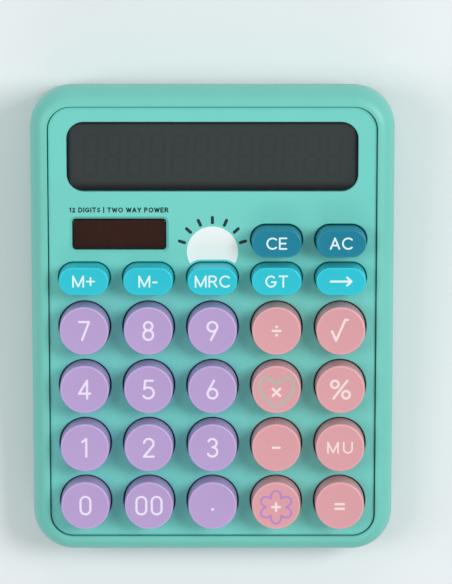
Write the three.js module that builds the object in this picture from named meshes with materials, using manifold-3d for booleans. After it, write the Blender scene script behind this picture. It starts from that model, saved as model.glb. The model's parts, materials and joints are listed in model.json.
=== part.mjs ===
// A desk calculator with sprung mechanical keys, as an assembly of separate pieces.
//
// Two frames are used. The table frame is the part's own: +X to the right, +Y to the rear, +Z up, with
// its origin on the table under the middle of the case. The deck frame is tilted about X with the face:
// u runs across, v runs up the face towards the rear, and w points out of the face, with w = 0 on the
// face plate. Everything the user sees and presses is laid out on the deck.
import * as THREE from "three";
import { mergeVertices } from "three/addons/utils/BufferGeometryUtils.js";
import Module from "manifold-3d";

const wasm = await Module();
wasm.setup();

// ---------------------------------------------------------------------------------------------------
// Driving dimensions, in millimetres and degrees
// ---------------------------------------------------------------------------------------------------

const GAP = 0.3; // between pieces that seat on or beside each other

const body = {
  width: 115.4,
  depth: 151,
  frontHeight: 18, // rim crest above the table at the front edge
  slope: 4.5,
  cornerRadius: 13,
  cornerSegments: 5,
  partLine: -9, // w of the seam between the two shells
};

const rim = {
  width: 5.6, // from the widest outline to the recess of the face
  lip: 0.4, // flat crest beside the recess
  crest: 1, // above the face plate
  roundHeight: 8,
  roundSteps: 6,
  ledge: 3, // shelf under the edge of the face plate
  ledgeThickness: 2,
};

const shell = {
  wall: 2.2,
  rabbetSkin: 1.1, // what is left of the upper wall beside the tongue
  tongueWidth: 1.2,
  tongueHeight: 1.5,
  floor: 2,
  draft: 1, // how far the lower walls lean in
  bottomFillet: 2,
  filletSteps: 3,
  innerFillet: 1,
  footStand: 2, // clearance under the lower shell
};

const plate = { thickness: 2 };

const keys = {
  columns: 5,
  columnPitch: 20.3,
  rowPitch: 19.05,
  frontRow: 17.5, // front edge of the case to the nearest row
  numberRows: 4,
  memoryRowStep: 16,
  clearRowStep: 12.2,
  height: 7.2,
  skirt: 1, // how far the skirt stands in its hole at rest
  travel: 3,
  wall: 1.1,
  ceiling: 1.6,
  edge: 0.4,
  dish: 0.2,
  stemRadius: 1.6,
  stemClearance: 0.8, // between a fully pressed stem and the board
};

const roundCap = { topWidth: 15.2, topDepth: 15.2, flare: 0.35, clearance: 0.4, segments: 5 };
const ovalCap = { topWidth: 15.7, topDepth: 8.9, flare: 0.2, clearance: 0.3, segments: 4 };

const keySwitch = {
  width: 8.4,
  clearance: 0.4, // between a fully pressed skirt and the switch under it
  plateThickness: 1.2,
  plateMargin: 1.2, // plate beyond the outermost switch
  boreRadius: 2.1,
};

const display = {
  width: 92,
  depth: 22.2,
  cornerRadius: 5.4,
  fromRear: 10.6, // rear edge of the case to the opening
  lensSink: 0.9,
  lensThickness: 1.5,
  frameOverlap: 0.8, // how far the holder reaches past the edge of the opening
  frameWall: 1.7,
  glassThickness: 2.4,
  zebraEndMargin: 4,
  zebraDepth: 2.2,
};

const solar = {
  width: 29.8,
  depth: 10.1,
  cornerRadius: 1.2,
  centreU: -29.5,
  fromClearRow: 1.5, // v of its centre beyond the clear row
  bevel: 0.8,
  windowSink: 1, // the window reaches from here to the back of the face plate
  cellMargin: 1.4,
  cellThickness: 1.1,
};

const board = { top: -10, thickness: 1.6, sideMargin: 7.7, endOverhang: 1.8, rearFromLens: 2.9 };

const caseScrew = {
  headRadius: 2.2,
  headHeight: 1.4,
  shankRadius: 1.1,
  length: 8,
  bossRadius: 2.7,
  lowerBossRadius: 3.6,
  seatBelowSeam: 4.9, // the face the head bears on
  bossBelowSeam: 2.5, // the end of the upper boss
  frontFromEdge: 7,
  rearFromEdge: 6.5,
  rearU: 35,
};

const chip = { radius: 6, rise: 1.6 };

const can = { radius: 2.5, length: 6.5, edge: 0.4, groove: 0.3, grooveWidth: 0.8, grooveFromFoot: 1 };

const boardScrew = { headRadius: 1.9, headHeight: 1.2, shankRadius: 0.8, length: 6, postRadius: 2.2 };

const foot = { radius: 5, socket: 0.6, fromSide: 17.5, fromEnd: 17.5, chamfer: 0.5, seatGap: 0.1 };

const battery = {
  cellRadius: 5.8,
  cellHeight: 5.4,
  cellStep: 0.8, // the cap is this much narrower than the can
  capHeight: 1,
  cellEdge: 0.3,
  fromRear: 30,
  coverLap: 3.8, // how far the cover reaches past the tube's bore
  coverThickness: 2,
  coverSink: 0.15,
  tabReach: 1.4,
  tabThickness: 1.1,
  tabHalfAngle: 14,
  twist: 45, // from locked to the entry notches
  tubeWall: 1.8,
  hubWall: 2.3,
  hubRise: 2,
  slotWidth: 1.6,
  slotDepth: 1,
  slotInset: 4, // each end of the coin slot from the cover's edge
  contactThickness: 0.4,
  contactWidth: 4,
  contactLug: 1.9, // how far each strip reaches past the tube for its wire
  dimpleRadius: 1.2,
};

const lead = {
  radius: 0.6,
  sides: 8,
  steps: 6,
  bow: 0.06, // how far its middle strays, as a share of its length
  edge: 0.4, // from the end of a contact's lug
  fromCellEnd: 2,
};

// ---------------------------------------------------------------------------------------------------
// Places worked out from the driving dimensions
// ---------------------------------------------------------------------------------------------------

const slope = THREE.MathUtils.degToRad(body.slope);
const sinSlope = Math.sin(slope);
const cosSlope = Math.cos(slope);
const halfWidth = body.width / 2;
const halfDepth = body.depth / 2;
const roundStart = rim.crest - rim.roundHeight; // w where the side starts to round over
const lowerTop = body.partLine - GAP;
const floorLow = shell.footStand;
const floorHigh = floorLow + shell.floor;

// The deck is set so that the front crest has its height and the case is centred on the origin.
const deckHeight = body.frontHeight + halfDepth * sinSlope - rim.crest * cosSlope;
const frontmost = -halfDepth * cosSlope - roundStart * sinSlope;
const rearmost = halfDepth * cosSlope - lowerTop * sinSlope;
const deck = new THREE.Group();
deck.position.set(0, -(frontmost + rearmost) / 2, deckHeight);
deck.rotation.x = slope;
deck.updateMatrix();
const partLineY = deck.position.y - lowerTop * sinSlope;

const numberRowV = (row) => -halfDepth + keys.frontRow + row * keys.rowPitch;
const memoryRowV = numberRowV(keys.numberRows - 1) + keys.memoryRowStep;
const clearRowV = memoryRowV + keys.clearRowStep;
const columnU = (column) => (column - (keys.columns - 1) / 2) * keys.columnPitch;

const displayV = halfDepth - display.fromRear - display.depth / 2;
const lensLow = -display.lensSink - display.lensThickness;
const frameWidth = display.width + 2 * display.frameOverlap;
const frameDepth = display.depth + 2 * display.frameOverlap;
const glassWidth = frameWidth - 2 * (display.frameWall + GAP);
const glassDepth = frameDepth - 2 * (display.frameWall + GAP);
const frameTop = lensLow - GAP;
const frameBottom = board.top + GAP;
const glassTop = frameTop - GAP;
const glassLow = glassTop - display.glassThickness;
const solarV = clearRowV + solar.fromClearRow;
const stemReach = -board.top - keys.travel - keys.stemClearance; // below the face at rest
const switchTop = -keys.skirt - keys.travel - keySwitch.clearance;
const switchLow = board.top + GAP;
const boardLow = board.top - board.thickness;
const boardHalfWidth = halfWidth - board.sideMargin;
const boardFront = numberRowV(0) - keySwitch.width / 2 - board.endOverhang;
const boardRear = displayV + display.depth / 2 - board.rearFromLens;

const screwSeat = body.partLine - caseScrew.seatBelowSeam;
const bossEnd = body.partLine - caseScrew.bossBelowSeam;

const caseScrewPlaces = [
  ["case_screw_front_left", -keys.columnPitch * 1.5, -halfDepth + caseScrew.frontFromEdge],
  ["case_screw_front_right", keys.columnPitch * 1.5, -halfDepth + caseScrew.frontFromEdge],
  ["case_screw_rear_left", -caseScrew.rearU, halfDepth - caseScrew.rearFromEdge],
  ["case_screw_rear_right", caseScrew.rearU, halfDepth - caseScrew.rearFromEdge],
];

const frontPostV = (numberRowV(0) + numberRowV(1)) / 2;
const rearPostV = (numberRowV(keys.numberRows - 1) + memoryRowV) / 2;
const boardScrewPlaces = [
  ["board_screw_front_left", -keys.columnPitch * 1.5, frontPostV],
  ["board_screw_front_right", keys.columnPitch * 1.5, frontPostV],
  ["board_screw_rear_left", -keys.columnPitch * 1.5, rearPostV],
  ["board_screw_rear_right", keys.columnPitch * 1.5, rearPostV],
];

const footPlaces = [
  ["foot_front_left", -1, -1],
  ["foot_front_right", 1, -1],
  ["foot_rear_left", -1, 1],
  ["foot_rear_right", 1, 1],
].map(([name, sideX, sideY]) => [
  name,
  sideX * (halfWidth - foot.fromSide),
  partLineY + sideY * (halfDepth * cosSlope - foot.fromEnd),
]);

const batteryY = partLineY + halfDepth * cosSlope - battery.fromRear;
const coverLow = floorLow + battery.coverSink;
const coverHigh = coverLow + battery.coverThickness;
const cellLow = coverHigh + GAP;
const cellHigh = cellLow + battery.cellHeight;
const hubTop = floorHigh + battery.hubRise;
const tubeRadius = battery.cellRadius + battery.contactThickness + GAP / 2;
const coverRadius = tubeRadius + battery.coverLap;
const grooveRadius = coverRadius + battery.tabReach + GAP;
const hubRadius = grooveRadius + battery.hubWall;

// ---------------------------------------------------------------------------------------------------
// Materials
// ---------------------------------------------------------------------------------------------------

const finish = (color, roughness, metalness = 0) =>
  new THREE.MeshStandardMaterial({ color, roughness, metalness });

const mintPlastic = finish(0x6fc8bd, 0.5);
const mintPanel = finish(0x74d0c4, 0.55);
const purpleCap = finish(0xb8a0d2, 0.4);
const pinkCap = finish(0xdea2a9, 0.4);
const cyanCap = finish(0x30c8d6, 0.4);
const tealCap = finish(0x00829b, 0.4);
const tintedLens = finish(0x3e4444, 0.12);
const greyGlass = finish(0x8a948c, 0.2);
const clearPlastic = finish(0x5a3a30, 0.1);
const solarBrown = finish(0x3a1e14, 0.25);
const blackPlastic = finish(0x1e1f20, 0.6);
const greenBoard = finish(0x1f6b45, 0.5);
const blackEpoxy = finish(0x101012, 0.35);
const blackRubber = finish(0x2a2a2c, 0.9);
const pinkRubber = finish(0xc9b4b0, 0.9);
const zincSteel = finish(0xb9bcc0, 0.35, 1);
const nickelStrip = finish(0xc9c6be, 0.3, 1);
const aluminiumCan = finish(0x8f9499, 0.35, 0.9);
const redWire = finish(0xb3261e, 0.5);
const blackWire = finish(0x1a1a1a, 0.5);

// ---------------------------------------------------------------------------------------------------
// Geometry helpers
// ---------------------------------------------------------------------------------------------------

// A closed geometry as a manifold-3d solid.
function solidFrom(geometry) {
  const bare = geometry.index ? geometry.toNonIndexed() : geometry.clone();
  bare.deleteAttribute("normal");
  bare.deleteAttribute("uv");
  const merged = mergeVertices(bare, 1e-4);
  const vertProperties = merged.attributes.position.array;
  const triVerts = new Uint32Array(merged.index.array);
  return new wasm.Manifold(new wasm.Mesh({ numProp: 3, vertProperties, triVerts }));
}

// A manifold-3d solid as a geometry.
function geometryFrom(solid) {
  const mesh = solid.getMesh();
  const geometry = new THREE.BufferGeometry();
  geometry.setAttribute("position", new THREE.BufferAttribute(mesh.vertProperties, 3));
  geometry.setIndex(new THREE.BufferAttribute(mesh.triVerts, 1));
  geometry.computeVertexNormals();
  return geometry;
}

// One geometry with others joined to it and others cut from it.
function combine(base, joined, cut = []) {
  let solid = solidFrom(base);
  for (const geometry of joined) solid = solid.add(solidFrom(geometry));
  for (const geometry of cut) solid = solid.subtract(solidFrom(geometry));
  return geometryFrom(solid);
}

// Counter-clockwise points of a rectangle with round corners. A radius of half the depth gives an oval
// with round ends, and of half of both a circle.
function outline(width, depth, radius, segments) {
  const points = [];
  for (let corner = 0; corner < 4; corner += 1) {
    const middle = (corner + 0.5) * (Math.PI / 2);
    const centreX = Math.sign(Math.cos(middle)) * (width / 2 - radius);
    const centreY = Math.sign(Math.sin(middle)) * (depth / 2 - radius);
    for (let step = 0; step <= segments; step += 1) {
      const angle = (corner + step / segments) * (Math.PI / 2);
      const point = new THREE.Vector2(
        centreX + radius * Math.cos(angle),
        centreY + radius * Math.sin(angle),
      );
      const last = points.at(-1);
      if (!last || last.distanceTo(point) > 1e-6) points.push(point);
    }
  }
  if (points[0].distanceTo(points.at(-1)) < 1e-6) points.pop();
  return points;
}

// The same points at one height.
const level = (points, height) => points.map((point) => new THREE.Vector3(point.x, point.y, height));

const ringCentre = (ring) =>
  ring.reduce((sum, point) => sum.add(point), new THREE.Vector3()).divideScalar(ring.length);

// A skin over rings of matching points. A loop joins its last ring to its first. Otherwise the first ring
// is closed with a fan that faces down and the last with one that faces up.
function loft(rings, { loop = false, topCentre = null } = {}) {
  const positions = [];
  const triangle = (a, b, c) => positions.push(...a.toArray(), ...b.toArray(), ...c.toArray());
  const count = rings[0].length;
  const spans = loop ? rings.length : rings.length - 1;
  for (let index = 0; index < spans; index += 1) {
    const here = rings[index];
    const next = rings[(index + 1) % rings.length];
    for (let i = 0; i < count; i += 1) {
      const j = (i + 1) % count;
      triangle(here[i], here[j], next[j]);
      triangle(here[i], next[j], next[i]);
    }
  }
  if (!loop) {
    const first = rings[0];
    const last = rings.at(-1);
    const low = ringCentre(first);
    const high = topCentre ?? ringCentre(last);
    for (let i = 0; i < count; i += 1) {
      const j = (i + 1) % count;
      triangle(low, first[j], first[i]);
      triangle(high, last[i], last[j]);
    }
  }
  const geometry = new THREE.BufferGeometry();
  geometry.setAttribute("position", new THREE.Float32BufferAttribute(positions, 3));
  geometry.computeVertexNormals();
  return geometry;
}

// An upright cylinder between two heights.
function cylinder(radius, low, high, x, y, segments = 12) {
  const geometry = new THREE.CylinderGeometry(radius, radius, high - low, segments);
  return geometry.rotateX(Math.PI / 2).translate(x, y, (low + high) / 2);
}

// A box between two heights.
function box(width, depth, low, high, x, y) {
  return new THREE.BoxGeometry(width, depth, high - low).translate(x, y, (low + high) / 2);
}

// A slab with an outline and holes, between two heights.
function slab(points, holes, low, high) {
  const shape = new THREE.Shape(points);
  for (const hole of holes) shape.holes.push(new THREE.Path(hole));
  const geometry = new THREE.ExtrudeGeometry(shape, { depth: high - low, bevelEnabled: false });
  return geometry.translate(0, 0, low);
}

const shifted = (points, x, y) => points.map((point) => new THREE.Vector2(point.x + x, point.y + y));

const onDeck = (geometry) => geometry.applyMatrix4(deck.matrix);

function addPiece(parent, name, geometry, material) {
  const mesh = new THREE.Mesh(geometry, material);
  mesh.name = name;
  parent.add(mesh);
}

// ---------------------------------------------------------------------------------------------------
// The case
// ---------------------------------------------------------------------------------------------------

// The widest outline of the case, drawn in by an inset.
const bodyOutline = (inset) =>
  outline(
    body.width - 2 * inset,
    body.depth - 2 * inset,
    body.cornerRadius - inset,
    body.cornerSegments,
  );

// The upper shell: a rounded rim band, a shelf for the face plate, a wall with a rabbet at the seam, and
// four screw bosses under the shelf.
function upperHousing() {
  const roundWidth = rim.width - rim.lip;
  const profile = [[0, body.partLine]];
  for (let step = 0; step <= rim.roundSteps; step += 1) {
    const angle = (step / rim.roundSteps) * (Math.PI / 2);
    profile.push([
      roundWidth * (1 - Math.cos(angle)),
      roundStart + rim.roundHeight * Math.sin(angle),
    ]);
  }
  const ledgeTop = -plate.thickness - GAP;
  const ledgeLow = ledgeTop - rim.ledgeThickness;
  const ledgeInset = rim.width + rim.ledge;
  const rabbetTop = body.partLine + shell.tongueHeight + GAP;
  profile.push(
    [rim.width, rim.crest],
    [rim.width, ledgeTop],
    [ledgeInset, ledgeTop],
    [ledgeInset, ledgeLow],
    [shell.wall, ledgeLow],
    [shell.wall, rabbetTop],
    [shell.rabbetSkin, rabbetTop],
    [shell.rabbetSkin, body.partLine],
  );
  const ring = loft(
    profile.map(([inset, height]) => level(bodyOutline(inset), height)),
    { loop: true },
  );
  const bossTop = (ledgeTop + ledgeLow) / 2;
  const bosses = caseScrewPlaces.map(([, u, v]) =>
    cylinder(caseScrew.bossRadius, bossEnd, bossTop, u, v),
  );
  const pilotTop = screwSeat + caseScrew.length + GAP;
  const pilots = caseScrewPlaces.map(([, u, v]) =>
    cylinder(caseScrew.shankRadius + GAP, bossEnd - 1, pilotTop, u, v, 12),
  );
  return combine(ring, bosses, pilots);
}

// A ring of the lower shell in the tilted plane of the seam.
const seamRing = (inset, height) =>
  level(bodyOutline(inset), height).map((point) => point.applyMatrix4(deck.matrix));

// A level ring of the lower shell, whose walls lean in by the draft.
function baseRing(inset, height) {
  const points = outline(
    body.width - 2 * inset,
    body.depth * cosSlope - 2 * inset,
    body.cornerRadius - inset,
    body.cornerSegments,
  );
  return level(shifted(points, 0, partLineY), height);
}

// The outside and the inside of the lower shell as one skin: up the outer wall, over the tongue that
// enters the upper shell, and down the inner wall to the floor.
function lowerTray() {
  const rings = [];
  for (let step = 0; step <= shell.filletSteps; step += 1) {
    const angle = (step / shell.filletSteps) * (Math.PI / 2);
    rings.push(
      baseRing(
        shell.draft + shell.bottomFillet * (1 - Math.sin(angle)),
        floorLow + shell.bottomFillet * (1 - Math.cos(angle)),
      ),
    );
  }
  const tongueOuter = shell.rabbetSkin + GAP;
  const tongueInner = tongueOuter + shell.tongueWidth;
  const tongueTop = lowerTop + shell.tongueHeight;
  const innerFoot = shell.draft + shell.wall;
  rings.push(
    seamRing(0, lowerTop),
    seamRing(tongueOuter, lowerTop),
    seamRing(tongueOuter, tongueTop),
    seamRing(tongueInner, tongueTop),
    baseRing(innerFoot, floorHigh + shell.innerFillet),
    baseRing(innerFoot + shell.innerFillet, floorHigh),
  );
  return loft(rings);
}

// The solid parts of the battery well: a hub that takes the cover's tabs, and the tube round the cell.
function batteryWellWalls() {
  const tubeHigh = cellHigh + battery.contactThickness;
  return [
    cylinder(hubRadius, floorLow + shell.floor / 2, hubTop, 0, batteryY, 24),
    cylinder(tubeRadius + battery.tubeWall, floorHigh, tubeHigh, 0, batteryY, 20),
  ];
}

// A wedge of a disc, for the cover's tabs and the notches they enter by.
function tab(reach, halfAngle, turn, low, high) {
  const points = [new THREE.Vector2(0, 0)];
  const steps = 4;
  for (let step = 0; step <= steps; step += 1) {
    const angle = THREE.MathUtils.degToRad(turn - halfAngle + (2 * halfAngle * step) / steps);
    points.push(new THREE.Vector2(reach * Math.cos(angle), reach * Math.sin(angle)));
  }
  return slab(shifted(points, 0, batteryY), [], low, high);
}

// The hollows of the battery well: the bore of the cover, the groove and entry notches of its tabs, the
// bore of the cell, and the slit of the side contact.
function batteryWellHollows() {
  const below = floorLow - 1;
  const grooveLow = coverHigh - battery.tabThickness - GAP;
  const above = cellHigh + 2;
  return [
    cylinder(coverRadius + GAP, below, cellLow, 0, batteryY, 28),
    cylinder(grooveRadius, grooveLow, cellLow, 0, batteryY, 28),
    tab(grooveRadius, battery.tabHalfAngle + 3, battery.twist, below, cellLow),
    tab(grooveRadius, battery.tabHalfAngle + 3, battery.twist + 180, below, cellLow),
    cylinder(tubeRadius, cellLow - GAP, above, 0, batteryY, 20),
    box(battery.contactWidth + 2 * GAP, 4, cellLow + 1, above, 0, batteryY + tubeRadius + 1),
  ];
}

// The lower shell: a wedge-shaped tray with screw bosses, the battery well and sockets for the feet.
function lowerHousing() {
  const bossTop = bossEnd - GAP;
  const bosses = caseScrewPlaces.map(([, u, v]) => {
    const floorW = (floorLow + shell.floor / 2 - deckHeight - v * sinSlope) / cosSlope;
    return onDeck(cylinder(caseScrew.lowerBossRadius, floorW, bossTop, u, v));
  });
  const holes = caseScrewPlaces.flatMap(([, u, v]) => [
    onDeck(cylinder(caseScrew.shankRadius + GAP, screwSeat - 1, bossTop + 1, u, v, 12)),
    onDeck(cylinder(caseScrew.headRadius + GAP, -deckHeight - halfDepth, screwSeat, u, v)),
  ]);
  const sockets = footPlaces.map(([, x, y]) =>
    cylinder(foot.radius + GAP, 0, floorLow + foot.socket, x, y, 16),
  );
  const walls = [...bosses, ...batteryWellWalls()];
  return combine(lowerTray(), walls, [...holes, ...sockets, ...batteryWellHollows()]);
}

// ---------------------------------------------------------------------------------------------------
// The keys
// ---------------------------------------------------------------------------------------------------

// Where each key is, what shape its cap has and what it is made of, front row last.
function keyLayout() {
  const numberColours = [purpleCap, purpleCap, purpleCap, pinkCap, pinkCap];
  const numberNames = [
    ["key_0", "key_00", "key_decimal_point", "key_add", "key_equals"],
    ["key_1", "key_2", "key_3", "key_subtract", "key_mark_up"],
    ["key_4", "key_5", "key_6", "key_multiply", "key_percent"],
    ["key_7", "key_8", "key_9", "key_divide", "key_square_root"],
  ];
  const memoryNames = [
    "key_memory_add",
    "key_memory_subtract",
    "key_memory_recall",
    "key_grand_total",
    "key_backspace",
  ];
  const place = (name, column, v, cap, material) => ({ name, u: columnU(column), v, cap, material });
  return [
    place("key_clear_entry", 3, clearRowV, ovalCap, tealCap),
    place("key_all_clear", 4, clearRowV, ovalCap, tealCap),
    ...memoryNames.map((name, column) => place(name, column, memoryRowV, ovalCap, cyanCap)),
    ...numberNames.flatMap((names, row) =>
      names.map((name, column) =>
        place(name, column, numberRowV(row), roundCap, numberColours[column]),
      ),
    ),
  ];
}

const layout = keyLayout();

// The outline of a cap's foot, grown by an amount; its hole in the face plate is the same, grown more.
function capOutline(cap, growth) {
  const width = cap.topWidth + 2 * (cap.flare + growth);
  const depth = cap.topDepth + 2 * (cap.flare + growth);
  return outline(width, depth, depth / 2, cap.segments);
}

// A hollow cap in one piece with the stem that enters its switch. Its top is slightly dished.
function keyCap(cap) {
  const ceilingLow = keys.height - keys.ceiling;
  const stem = keys.stemRadius - cap.topDepth / 2 - cap.flare;
  const stemWidth = (cap.topWidth - cap.topDepth) / 2;
  const narrow = (points) =>
    points.map((point) => new THREE.Vector2(point.x - Math.sign(point.x) * stemWidth, point.y));
  const stemOutline = narrow(capOutline(cap, stem));
  return loft(
    [
      level(stemOutline, -stemReach),
      level(stemOutline, ceilingLow),
      level(capOutline(cap, -cap.flare - keys.wall), ceilingLow),
      level(capOutline(cap, -keys.wall), -keys.skirt),
      level(capOutline(cap, 0), -keys.skirt),
      level(capOutline(cap, -cap.flare), keys.height - keys.edge),
      level(capOutline(cap, -cap.flare - keys.edge), keys.height),
    ],
    { topCentre: new THREE.Vector3(0, 0, keys.height - keys.dish) },
  );
}

// The mounting plate with the 27 switch housings on it, each with the bore that its key's stem enters.
function keySwitchBank() {
  const margin = keySwitch.width / 2 + keySwitch.plateMargin;
  const left = columnU(0) - margin;
  const right = columnU(keys.columns - 1) + margin;
  const front = numberRowV(0) - margin;
  const memoryRear = memoryRowV + margin;
  const clearRear = clearRowV + margin;
  const step = columnU(3) - margin;
  const points = [
    [left, front],
    [right, front],
    [right, clearRear],
    [step, clearRear],
    [step, memoryRear],
    [left, memoryRear],
  ].map(([u, v]) => new THREE.Vector2(u, v));
  const plateHigh = switchLow + keySwitch.plateThickness;
  const postRadius = boardScrew.postRadius + GAP;
  const postHoles = boardScrewPlaces.map(([, u, v]) =>
    shifted(outline(2 * postRadius, 2 * postRadius, postRadius, 4), u, v),
  );
  const mountingPlate = slab(points, postHoles, switchLow, plateHigh);
  const sunk = plateHigh - keySwitch.plateThickness / 2;
  const housings = layout.map(({ u, v }) =>
    box(keySwitch.width, keySwitch.width, sunk, switchTop, u, v),
  );
  const bores = layout.map(({ u, v }) =>
    cylinder(keySwitch.boreRadius, switchLow - 1, switchTop + 1, u, v, 8),
  );
  return combine(mountingPlate, housings, bores);
}

// ---------------------------------------------------------------------------------------------------
// The face: plate, display and solar cell
// ---------------------------------------------------------------------------------------------------

// The recessed panel, with a hole for every key, the display and the solar cell, and posts that carry
// the board.
function facePlate() {
  const edge = rim.width + GAP;
  const holes = layout.map(({ u, v, cap }) => shifted(capOutline(cap, cap.clearance), u, v));
  const opening = outline(display.width, display.depth, display.cornerRadius, 5);
  holes.push(shifted(opening, 0, displayV));
  const panel = slab(bodyOutline(edge), holes, -plate.thickness, 0);
  const postLow = board.top + GAP;
  const posts = boardScrewPlaces.map(([, u, v]) =>
    cylinder(boardScrew.postRadius, postLow, -plate.thickness / 2, u, v, 10),
  );
  const pilotTop = boardLow + boardScrew.length + GAP;
  const pilots = boardScrewPlaces.map(([, u, v]) =>
    cylinder(boardScrew.shankRadius + GAP, postLow - 1, pilotTop, u, v, 8),
  );
  return combine(panel, posts, [...pilots, solarOpening()]);
}

// The solar opening with the bevel round its mouth.
function solarOpening() {
  const ring = (growth, height) => {
    const points = outline(
      solar.width + 2 * growth,
      solar.depth + 2 * growth,
      solar.cornerRadius + growth,
      3,
    );
    return level(shifted(points, solar.centreU, solarV), height);
  };
  return loft([
    ring(0, -plate.thickness - 1),
    ring(0, -solar.bevel),
    ring(solar.bevel, 0),
    ring(solar.bevel, 1),
  ]);
}

function solarWindow() {
  const points = outline(
    solar.width - 2 * GAP,
    solar.depth - 2 * GAP,
    solar.cornerRadius - GAP,
    3,
  );
  const place = shifted(points, solar.centreU, solarV);
  return slab(place, [], -plate.thickness, -solar.windowSink);
}

function solarCell() {
  const high = -plate.thickness - GAP;
  const width = solar.width + 2 * solar.cellMargin;
  const depth = solar.depth + 2 * solar.cellMargin;
  return box(width, depth, high - solar.cellThickness, high, solar.centreU, solarV);
}

function displayWindow() {
  const points = outline(
    display.width - 2 * GAP,
    display.depth - 2 * GAP,
    display.cornerRadius - GAP,
    5,
  );
  return slab(shifted(points, 0, displayV), [], lensLow, -display.lensSink);
}

// The holder round the LCD glass, from under the lens to the board.
function displayFrame() {
  const cornerRadius = 3;
  const outside = shifted(outline(frameWidth, frameDepth, cornerRadius, 3), 0, displayV);
  const hole = outline(glassWidth + 2 * GAP, glassDepth + 2 * GAP, GAP, 1);
  return slab(outside, [shifted(hole, 0, displayV)], frameBottom, frameTop);
}

function lcdGlass() {
  return box(glassWidth, glassDepth, glassLow, glassTop, 0, displayV);
}

function zebraConnector() {
  const width = glassWidth - 2 * display.zebraEndMargin;
  const v = displayV - glassDepth / 2 + display.zebraDepth;
  return box(width, display.zebraDepth, frameBottom, glassLow - GAP, 0, v);
}

// ---------------------------------------------------------------------------------------------------
// Electronics
// ---------------------------------------------------------------------------------------------------

function mainBoard() {
  const width = 2 * boardHalfWidth;
  const depth = boardRear - boardFront;
  const middle = (boardRear + boardFront) / 2;
  const holes = boardScrewPlaces.map(([, u, v]) => {
    const bore = 2 * (boardScrew.shankRadius + GAP);
    return shifted(outline(bore, bore, bore / 2, 3), u, v);
  });
  const corner = 2;
  return slab(shifted(outline(width, depth, corner, 2), 0, middle), holes, boardLow, board.top);
}

// A domed drop of black resin over the chip, on the underside of the board.
function controllerChip() {
  const high = boardLow - GAP;
  const steps = 3;
  const rings = [];
  for (let step = 1; step <= steps; step += 1) {
    const angle = (step / steps) * (Math.PI / 2);
    const radius = chip.radius * Math.sin(angle);
    const points = outline(2 * radius, 2 * radius, radius, 4);
    rings.push(level(shifted(points, columnU(1), displayV), high - chip.rise * Math.cos(angle)));
  }
  return loft(rings);
}

// A small upright electrolytic can, with the groove near its foot.
function capacitor() {
  const high = boardLow - GAP;
  const grooveHigh = high - can.grooveFromFoot;
  const profile = [
    [can.radius - can.edge, high - can.length],
    [can.radius, high - can.length + can.edge],
    [can.radius, grooveHigh - can.grooveWidth],
    [can.radius - can.groove, grooveHigh - can.grooveWidth / 2],
    [can.radius, grooveHigh],
    [can.radius, high],
  ];
  const rings = profile.map(([r, height]) =>
    level(shifted(outline(2 * r, 2 * r, r, 4), columnU(3), displayV), height),
  );
  return loft(rings);
}

// A button cell with its stepped, narrower cap on top.
function batteryCell() {
  const r = battery.cellRadius;
  const edge = battery.cellEdge;
  const capRadius = r - battery.cellStep;
  const canHigh = cellHigh - battery.capHeight;
  const profile = [
    [r - edge, cellLow],
    [r, cellLow + edge],
    [r, canHigh],
    [capRadius, canHigh],
    [capRadius, cellHigh - edge],
    [capRadius - edge, cellHigh],
  ];
  const rings = profile.map(([radius, height]) =>
    level(shifted(outline(2 * radius, 2 * radius, radius, 6), 0, batteryY), height),
  );
  return loft(rings);
}

// A spring strip up the side of the cell, with a solder lug turned out over the tube.
function positiveContact() {
  const { contactThickness: thickness, contactWidth: width } = battery;
  const front = batteryY + battery.cellRadius + GAP / 2;
  const rear = batteryY + tubeRadius + battery.contactLug;
  const high = cellHigh + thickness + GAP;
  const slitLow = cellLow + 1;
  const strip = box(width, thickness, slitLow + GAP, high + thickness, 0, front + thickness / 2);
  const lug = box(width, rear - front, high, high + thickness, 0, (front + rear) / 2);
  return combine(strip, [lug]);
}

// A strip over the top of the cell, resting across the tube.
function negativeContact() {
  const low = cellHigh + battery.contactThickness + GAP;
  const high = low + battery.contactThickness;
  const front = batteryY - tubeRadius - battery.contactLug;
  const rear = batteryY + battery.cellRadius / 2;
  const arm = box(battery.contactWidth, rear - front, low, high, 0, (front + rear) / 2);
  const dimpleHigh = low + battery.contactThickness / 2;
  const dimple = cylinder(battery.dimpleRadius, cellHigh + GAP / 2, dimpleHigh, 0, batteryY, 12);
  return combine(arm, [dimple]);
}

// The twist-off cover, with its two tabs at the sides and a coin slot across its outer face.
function batteryCover() {
  const disc = cylinder(coverRadius, coverLow, coverHigh, 0, batteryY, 28);
  const reach = coverRadius + battery.tabReach;
  const tabLow = coverHigh - battery.tabThickness;
  const tabs = [0, 180].map((turn) => tab(reach, battery.tabHalfAngle, turn, tabLow, coverHigh));
  const slotHigh = coverLow + battery.slotDepth;
  const slotLength = 2 * (coverRadius - battery.slotInset);
  const slot = box(slotLength, battery.slotWidth, coverLow - 1, slotHigh, 0, batteryY);
  return combine(disc, tabs, [slot]);
}

// An upright wire of round section that bows a little to one side.
function wire(x, y, low, high, side) {
  const bow = side * lead.bow * (high - low);
  const end = (high - low) / lead.steps;
  const curve = new THREE.CatmullRomCurve3([
    new THREE.Vector3(x, y, low),
    new THREE.Vector3(x, y, low + end),
    new THREE.Vector3(x + bow, y, (low + high) / 2),
    new THREE.Vector3(x, y, high - end),
    new THREE.Vector3(x, y, high),
  ]);
  const section = new THREE.Shape(outline(2 * lead.radius, 2 * lead.radius, lead.radius, lead.sides / 4));
  return new THREE.ExtrudeGeometry(section, {
    steps: lead.steps,
    extrudePath: curve,
    bevelEnabled: false,
  });
}

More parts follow.
